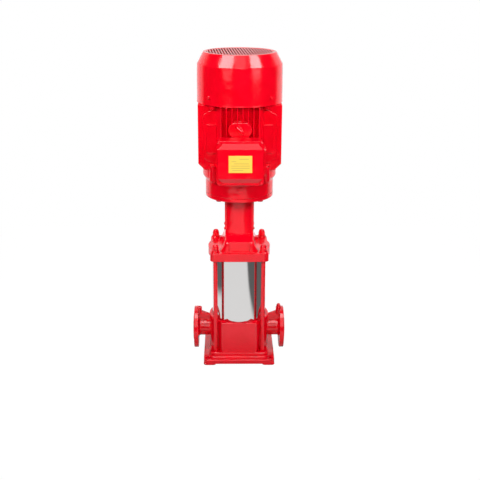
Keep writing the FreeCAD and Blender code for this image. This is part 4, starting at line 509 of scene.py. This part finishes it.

# %% [markdown]
# ## Fan cowl
# The cowl is deep-drawn from sheet: a cylinder, a sloped shoulder and a flat end with a grille. A
# drawn sheet never has a knife edge, so both bends are arcs, and below the shoulder the wall leans a
# little before it stands upright, which lets it catch the lamps for a few millimetres more. A low
# hem runs round the open end. The profile is worked out once as radius against height and carried
# round the shaft. Inside it gets a darker matt red, a painted shade, so the slots look dark from above.

# %% Fan cowl
cowl_low, cowl_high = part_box("fan_cowl")
COWL_RADIUS = (cowl_high.x - cowl_low.x) / 2
COWL_WALL, COWL_TOP_RADIUS, GRILLE_RADIUS = 2 * MM, 132 * MM, 121 * MM
SHOULDER, SHOULDER_BEND, TOP_BEND = cowl_low.z + 135 * MM, 8 * MM, 3 * MM
WALL_END, WALL_ROWS, CROWDING = SHOULDER - 9 * MM, 60, 1.5
LEAN, LEAN_LENGTH = 0.9 * MM, 14 * MM
HEM, HEM_HEIGHT, GRILLE_LIP = 0.6 * MM, 4 * MM, 0.5 * MM
BEND_STEPS, COWL_STEPS = 10, 160


def arc_bend(corner, before, after, radius):
    """Points of a round bend. It touches both arms at radius / tan(half the corner) from the corner."""
    corner, before, after = (np.asarray(p, float) for p in (corner, before, after))
    into, out = before - corner, after - corner
    into, out = into / np.linalg.norm(into), out / np.linalg.norm(out)
    half = math.acos(float(into @ out)) / 2
    middle = corner + (into + out) / np.linalg.norm(into + out) * radius / math.sin(half)
    start, end = corner + into * radius / math.tan(half), corner + out * radius / math.tan(half)
    angles = np.array([math.atan2(*(p - middle)[::-1]) for p in (start, end)])
    angles[1] = angles[0] + (angles[1] - angles[0] + math.pi) % (2 * math.pi) - math.pi
    sweep = np.linspace(*angles, BEND_STEPS)
    return middle + radius * np.stack([np.cos(sweep), np.sin(sweep)], -1)


def turned_skin(name, profile, count):
    """Closed profile of (radius, height) carried round Z: x = r cos a, y = r sin a, with count steps."""
    angle = full_turn(count)
    radius, height = profile[:, 0][:, None], profile[:, 1][:, None]
    points = np.stack(np.broadcast_arrays(radius * np.cos(angle), radius * np.sin(angle), height), -1)
    return make_mesh(name, points, grid_faces(len(profile), count, close_rows=True, close_columns=True))


# The wall leans in by lean exp((z - end) / length), and the hem draws in all but its foot by
# hem (1 - exp(-((z - low) / height)^4)).
wall_height = cowl_low.z + (WALL_END - cowl_low.z) * np.linspace(0, 1, WALL_ROWS) ** CROWDING
wall_radius = COWL_RADIUS - LEAN * np.exp((wall_height - wall_height[-1]) / LEAN_LENGTH)
wall_radius -= HEM * (1 - np.exp(-((wall_height - cowl_low.z) / HEM_HEIGHT) ** 4))
shoulder = (COWL_RADIUS - LEAN - HEM, SHOULDER)
top_edge = (COWL_TOP_RADIUS, cowl_high.z)
outside = np.concatenate([
    np.stack([wall_radius, wall_height], -1),
    arc_bend(shoulder, (shoulder[0], cowl_low.z), top_edge, SHOULDER_BEND),
    arc_bend(top_edge, shoulder, (0, cowl_high.z), TOP_BEND),
    [(GRILLE_RADIUS + GRILLE_LIP, cowl_high.z), (GRILLE_RADIUS, cowl_high.z - GRILLE_LIP)]])
inside = outside[::-1] - [COWL_WALL, 0]
inside[:, 1] = np.minimum(inside[:, 1], cowl_high.z - COWL_WALL)
inside[:2, 0] = GRILLE_RADIUS
cowl = turned_skin("cowl", np.concatenate([outside, inside]), COWL_STEPS)
cowl.data.materials.append(sheet_red)
# painted shade: the inside faces get the darker matt red, so the slots look dark
cowl.data.materials.append(mouldings["painted_shade_cowl_inside"])
face_row = np.arange(len(cowl.data.polygons)) // COWL_STEPS
cowl.data.polygons.foreach_set("material_index", (face_row >= len(outside)).astype(np.int32))
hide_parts("fan_cowl")
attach(cowl, "pump")
print("cowl faces", len(cowl.data.polygons), "radius", round(COWL_RADIUS, 4))

# %% [markdown]
# ## Grille
# The slots are punched, and the strips left between them have edges rounded by the paint. Each strip
# has the same rounded section, and its length follows the circle: half length = sqrt(R^2 - x^2). All
# strips are one array of points: strip, place along it, place round the section.

# %% Grille
STRIP_PITCH, STRIP_WIDTH, GRILLE_TURN = 10.1 * MM, 4.6 * MM, math.radians(4)
STRIP_OVERLAP, SHORTEST_HALF = 2 * MM, 8 * MM
STRIP_ROWS, SECTION_STEPS, SQUARENESS = 7, 12, 0.5


def strips(radius, pitch, width, thickness, top, turn):
    """Rounded strips across a circle, turned about Z: point = (x_b + w c, s L_b, top - t/2 + t/2 d)."""
    count = int(2 * radius / pitch) + 1
    x = pitch * (np.arange(count) - (count - 1) / 2)
    half_length = np.sqrt(np.maximum((radius + STRIP_OVERLAP) ** 2 - x ** 2, SHORTEST_HALF ** 2))
    angle = full_turn(SECTION_STEPS)
    across = np.sign(np.cos(angle)) * np.abs(np.cos(angle)) ** SQUARENESS * width / 2
    up = np.sign(np.sin(angle)) * np.abs(np.sin(angle)) ** SQUARENESS * thickness / 2
    along = np.linspace(1, -1, STRIP_ROWS)
    px = x[:, None, None] + across[None, None, :]
    py = half_length[:, None, None] * along[None, :, None]
    pz = top - thickness / 2 + up[None, None, :]
    px, py, pz = np.broadcast_arrays(px, py, pz)
    turned = (px * math.cos(turn) - py * math.sin(turn), px * math.sin(turn) + py * math.cos(turn), pz)
    faces = grid_faces(STRIP_ROWS, SECTION_STEPS, close_columns=True)
    return np.stack(turned, -1), repeated_faces(faces, count, STRIP_ROWS * SECTION_STEPS)


slotted = strips(GRILLE_RADIUS, STRIP_PITCH, STRIP_WIDTH, COWL_WALL, cowl_high.z, GRILLE_TURN)
grille = make_mesh("grille", *slotted)
grille.data.materials.append(sheet_red)
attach(grille, "pump")
print("grille faces", len(grille.data.polygons))

# %% [markdown]
# ## Outer sleeve
# The sleeve is sheet, rolled round and welded down the back, then polished. A rolled tube is never
# perfectly round, and a mirror shows it: reflections of the rods and of the table bend a little. The
# radius is the true one plus waves of a few hundredths of a millimetre, and a low weld bead behind.

# %% Outer sleeve
sleeve_low, sleeve_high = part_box("outer_sleeve")
SLEEVE_RADIUS, SLEEVE_WALL = (sleeve_high.x - sleeve_low.x) / 2, 2.5 * MM
SLEEVE_ROWS, SLEEVE_STEPS = 48, 240
WAVE, BEAD, BEAD_WIDTH = 0.05 * MM, 0.12 * MM, 0.02


def rolled_tube(radius, wall, low, high, rows, columns):
    """r = R - 3w - bead + w (three waves in a and z) + bead exp(-((a - 90 deg) / width)^2)."""
    z, a = np.meshgrid(np.linspace(low, high, rows), full_turn(columns), indexing="ij")
    waves = np.sin(2 * a + 0.4) + np.sin(3 * a + 40 * z) + np.sin(5 * a - 25 * z + 1)
    bead = BEAD * np.exp(-((a - math.pi / 2) / BEAD_WIDTH) ** 2)
    r = radius - 3 * WAVE - BEAD + WAVE * waves + bead
    outer = np.stack([r * np.cos(a), r * np.sin(a), z], -1)
    inner_r = r[::-1] - wall
    inner = np.stack([inner_r * np.cos(a), inner_r * np.sin(a), z[::-1]], -1)
    return np.concatenate([outer, inner]), grid_faces(2 * rows, columns, close_rows=True, close_columns=True)


tube = rolled_tube(SLEEVE_RADIUS, SLEEVE_WALL, sleeve_low.z, sleeve_high.z, SLEEVE_ROWS, SLEEVE_STEPS)
sleeve = make_mesh("sleeve", *tube)
sleeve.data.materials.append(metals["polished_stainless"])
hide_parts("outer_sleeve")
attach(sleeve, "pump")
print("sleeve radius", round(SLEEVE_RADIUS, 4), "waves", WAVE)

# %% [markdown]
# ## Lifting eyebolt
# A forged eye is thicker where it joins its collar, and flows into it. The ring is a tube round a
# circle, and its own radius swells towards the collar. The collar is a small turned disc with a
# bevel. Both are set aslant as on the real pump, by turning the points about the bolt's axis.

# %% Eyebolt
eye_low, eye_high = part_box("lifting_eyebolt")
EYE_HEIGHT = (eye_low.z + eye_high.z) / 2
EYE_RING, EYE_WIRE, EYE_INSET, EYE_TURN = 17.5 * MM, 4.8 * MM, 5 * MM, math.radians(45)
ROOT_SWELL, ROOT_REACH = 0.45, 0.5
RING_STEPS, WIRE_STEPS, COLLAR_STEPS = 72, 20, 40
PAD_FACE, EYE_COLLAR, COLLAR_DEPTH = -150 * MM, 10 * MM, 6 * MM
COLLAR_PROFILE = np.array([(0.0, 1.0), (0.62, 1.0), (0.8, 0.9), (0.97, 0.6),
                           (1.0, 0.4), (1.0, 0.0), (0.0, 0.0)])


def eye_ring(centre_y, ring, wire, turn):
    """Point = centre + (R + w cos b) e + w sin b n, with w = wire (1 + swell exp(-(a / reach)^2))."""
    a, b = np.meshgrid(full_turn(RING_STEPS), full_turn(WIRE_STEPS), indexing="ij")
    from_root = np.minimum(a, 2 * math.pi - a)
    w = wire * (1 + ROOT_SWELL * np.exp(-(from_root / ROOT_REACH) ** 2))
    reach = ring + w * np.cos(b)
    x, y, z = reach * np.sin(a), centre_y + reach * np.cos(a), w * np.sin(b)
    x, z = x * math.cos(turn) + z * math.sin(turn), z * math.cos(turn) - x * math.sin(turn)
    faces = grid_faces(RING_STEPS, WIRE_STEPS, close_rows=True, close_columns=True)
    return np.stack([x, y, z + EYE_HEIGHT], -1).reshape(-1, 3), faces


def collar_points(radius, depth, face):
    """Bevelled disc on the pad: its profile as shares of radius and depth, carried round the bolt's axis."""
    angle = full_turn(COLLAR_STEPS)
    r, out = COLLAR_PROFILE[:, 0][:, None] * radius, COLLAR_PROFILE[:, 1][:, None] * depth
    points = np.stack(np.broadcast_arrays(r * np.cos(angle), face - out, EYE_HEIGHT + r * np.sin(angle)), -1)
    return points.reshape(-1, 3), grid_faces(len(COLLAR_PROFILE), COLLAR_STEPS, close_columns=True)[:, ::-1]


ring_points, ring_faces = eye_ring(eye_low.y + EYE_RING + EYE_INSET, EYE_RING, EYE_WIRE, EYE_TURN)
disc_points, disc_faces = collar_points(EYE_COLLAR, COLLAR_DEPTH, PAD_FACE)
eyebolt = make_mesh("eyebolt", np.concatenate([ring_points, disc_points]),
                    np.concatenate([ring_faces, disc_faces + len(ring_points)]))
eyebolt.data.materials.append(cast_red)
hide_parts("lifting_eyebolt")
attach(eyebolt, "pump")
print("eyebolt from", round(eye_low.y, 4), "to", PAD_FACE)

# %% [markdown]
# ## Plate on the lid
# The plate is thin anodised sheet held by four rivets. It is stamped: a ridge runs round it, and
# blank ruled lines cross it where a maker would print data. Its front is one height over the plate,
# h(u, v), with u and v running from -1 to 1. The same formula marks the lines for the darker ink.

# %% Plate
plate_low, plate_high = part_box("nameplate")
PLATE_COLUMNS, PLATE_ROWS = 200, 150
SHEET, SHEET_ROUND = 0.5 * MM, 0.6 * MM
RIDGE, RIDGE_INSET, RIDGE_WIDTH = 0.15 * MM, 3 * MM, 1 * MM
RIVET, RIVET_RADIUS, RIVET_INSET = 0.35 * MM, 2.2 * MM, 6 * MM
LINE_WIDTH = 0.9 * MM
LINE_ROWS = (0.62, 0.34, 0.08, -0.18, -0.44, -0.70)
LINE_ENDS = ((-0.1, 0.7), (-0.75, -0.35), (-0.55, 0.72), (-0.78, 0.78), (-0.78, 0.78), (-0.7, 0.25))
PLATE_YELLOW, PLATE_INK, PLATE_ROUGHNESS = (0.86, 0.60, 0.09), (0.46, 0.30, 0.07), 0.34
PLATE_GLOSSY, PLATE_DULL, PLATE_DRIFT = 0.28, 0.42, 8 * MM
PLATE_GRAIN, PLATE_GRAIN_DEPTH = 1.5 * MM, 0.01 * MM


def plate_surface(low, high, columns, rows):
    """h = sheet (e / round)^0.5 + ridge exp(-((e - inset) / width)^2) + domes, e = distance from the edge."""
    u, v = np.meshgrid(np.linspace(-1, 1, columns), np.linspace(-1, 1, rows), indexing="ij")
    half_x, half_z = (high.x - low.x) / 2, (high.z - low.z) / 2
    from_side, from_end = half_x * (1 - np.abs(u)), half_z * (1 - np.abs(v))
    edge = np.minimum(from_side, from_end)
    height = SHEET * np.minimum(edge / SHEET_ROUND, 1) ** 0.5
    height += RIDGE * np.exp(-((edge - RIDGE_INSET) / RIDGE_WIDTH) ** 2)
    from_rivet = np.hypot(from_side - RIVET_INSET, from_end - RIVET_INSET)
    height += RIVET * np.sqrt(np.maximum(1 - (from_rivet / RIVET_RADIUS) ** 2, 0))
    lines = np.zeros_like(u)
    for row, (start, end) in zip(LINE_ROWS, LINE_ENDS):
        line = np.exp(-((v - row) * half_z / LINE_WIDTH) ** 2) * (u > start) * (u < end)
        lines = np.maximum(lines, line)
    x, z = (low.x + high.x) / 2 + half_x * u, (low.z + high.z) / 2 + half_z * v
    return np.stack([x, high.y - height, z], -1), lines


def plate_finish():
    """Yellow sheet with its ruled lines in brown ink, read from the piece's own attribute."""
    finish = Finish("plate_yellow_ruled", PLATE_YELLOW, PLATE_ROUGHNESS)
    mark = finish.nodes.new("ShaderNodeAttribute")
    mark.attribute_name = "ink"
    finish.blend_color(PLATE_INK, mark.outputs["Fac"])
    finish.vary_roughness(finish.noise(PLATE_DRIFT), PLATE_GLOSSY, PLATE_DULL)
    finish.bump([(finish.noise(PLATE_GRAIN, detail=3.0), PLATE_GRAIN_DEPTH)])
    return finish.material


plate_points, plate_lines = plate_surface(plate_low, plate_high, PLATE_COLUMNS, PLATE_ROWS)
plate = make_mesh("plate", plate_points, grid_faces(PLATE_COLUMNS, PLATE_ROWS)[:, ::-1])
ink = plate.data.attributes.new("ink", "FLOAT", "POINT")
ink.data.foreach_set("value", plate_lines.ravel().astype(np.float32))
plate.data.materials.append(plate_finish())
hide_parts("nameplate")
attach(plate, "pump")
print("plate", round(plate_high.x - plate_low.x, 4), "by", round(plate_high.z - plate_low.z, 4))

# %% [markdown]
# ## Screw heads
# The lid and the cowl are held by pan-head screws with a cross recess. One head is a dome over a
# disc, and the recess is pressed in where a point lies near either arm of the cross. The same head is
# then laid on every screw by a turn and a move, all in one array. It covers the plain head by a skin.

# %% Screw heads
screw_low, screw_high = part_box("lid_screws")
cowl_screw_low, cowl_screw_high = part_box("cowl_screws")
HEAD, LID_HEAD_HEIGHT, COWL_HEAD_HEIGHT, SKIN = 5.5 * MM, 4.0 * MM, 3.5 * MM, 0.25 * MM
LID_SPIN, COWL_SPIN = 0.7, 1.1
HEAD_RINGS, HEAD_STEPS, RIM = 16, 48, 0.97
DOME, RECESS, ARM_WIDTH, ARM_LENGTH = 0.75, 0.55, 0.13, 0.55


def pan_head(radius, height):
    """h = H (1 - dome q^4) for q = r / R, less a cross recess, and the rim goes down to the seat."""
    rings = np.r_[np.linspace(0, RIM, HEAD_RINGS), 1.0, 1.0]
    q, angle = np.meshgrid(rings, full_turn(HEAD_STEPS), indexing="ij")
    x, y = radius * q * np.cos(angle), radius * q * np.sin(angle)
    across = np.minimum(np.abs(x), np.abs(y)) / (ARM_WIDTH * radius)
    along = np.maximum(np.abs(x), np.abs(y)) / (ARM_LENGTH * radius)
    recess = RECESS * height * np.exp(-across ** 4) * np.exp(-along ** 6)
    h = height * (1 - DOME * q ** 4) - recess
    h[-1] = 0
    return np.stack([x, y, h], -1).reshape(-1, 3), grid_faces(len(rings), HEAD_STEPS, close_columns=True)


def heads_on(name, seats, outs, radius, height, spin):
    """The head laid on each seat with its axis along each outward direction, turned by its own spin."""
    points, faces = pan_head(radius, height)
    seats, outs = np.asarray(seats, float), np.asarray(outs, float)
    side = np.cross([0, 0, 1.0], outs)
    side /= np.linalg.norm(side, axis=1)[:, None]
    up = np.cross(outs, side)
    turn = (np.arange(len(seats)) * spin)[:, None]
    first = side * np.cos(turn) + up * np.sin(turn)
    second = up * np.cos(turn) - side * np.sin(turn)
    axes = np.stack([first, second, outs], 1)
    placed = seats[:, None] + np.einsum("pk,nkd->npd", points, axes)
    heads = make_mesh(name, placed, repeated_faces(faces, len(seats), len(points)))
    heads.data.materials.append(cast_red)
    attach(heads, "pump")


xs, zs = (screw_low.x + HEAD, screw_high.x - HEAD), (screw_low.z + HEAD, screw_high.z - HEAD)
lid_seats = [(x, screw_low.y + LID_HEAD_HEIGHT, z) for x in xs for z in zs]
heads_on("lid_screw_heads", lid_seats, [(0, -1, 0)] * 4, HEAD + SKIN, LID_HEAD_HEIGHT + SKIN, LID_SPIN)

diagonal = np.array([(math.cos(a), math.sin(a), 0) for a in np.radians([45, 135, 225, 315])])
cowl_seats = diagonal * COWL_RADIUS + [0, 0, (cowl_screw_low.z + cowl_screw_high.z) / 2]
heads_on("cowl_screw_heads", cowl_seats, diagonal, HEAD + SKIN, COWL_HEAD_HEIGHT + SKIN, COWL_SPIN)
print("heads at", [round(v, 4) for v in lid_seats[0]], [round(float(v), 4) for v in cowl_seats[0]])
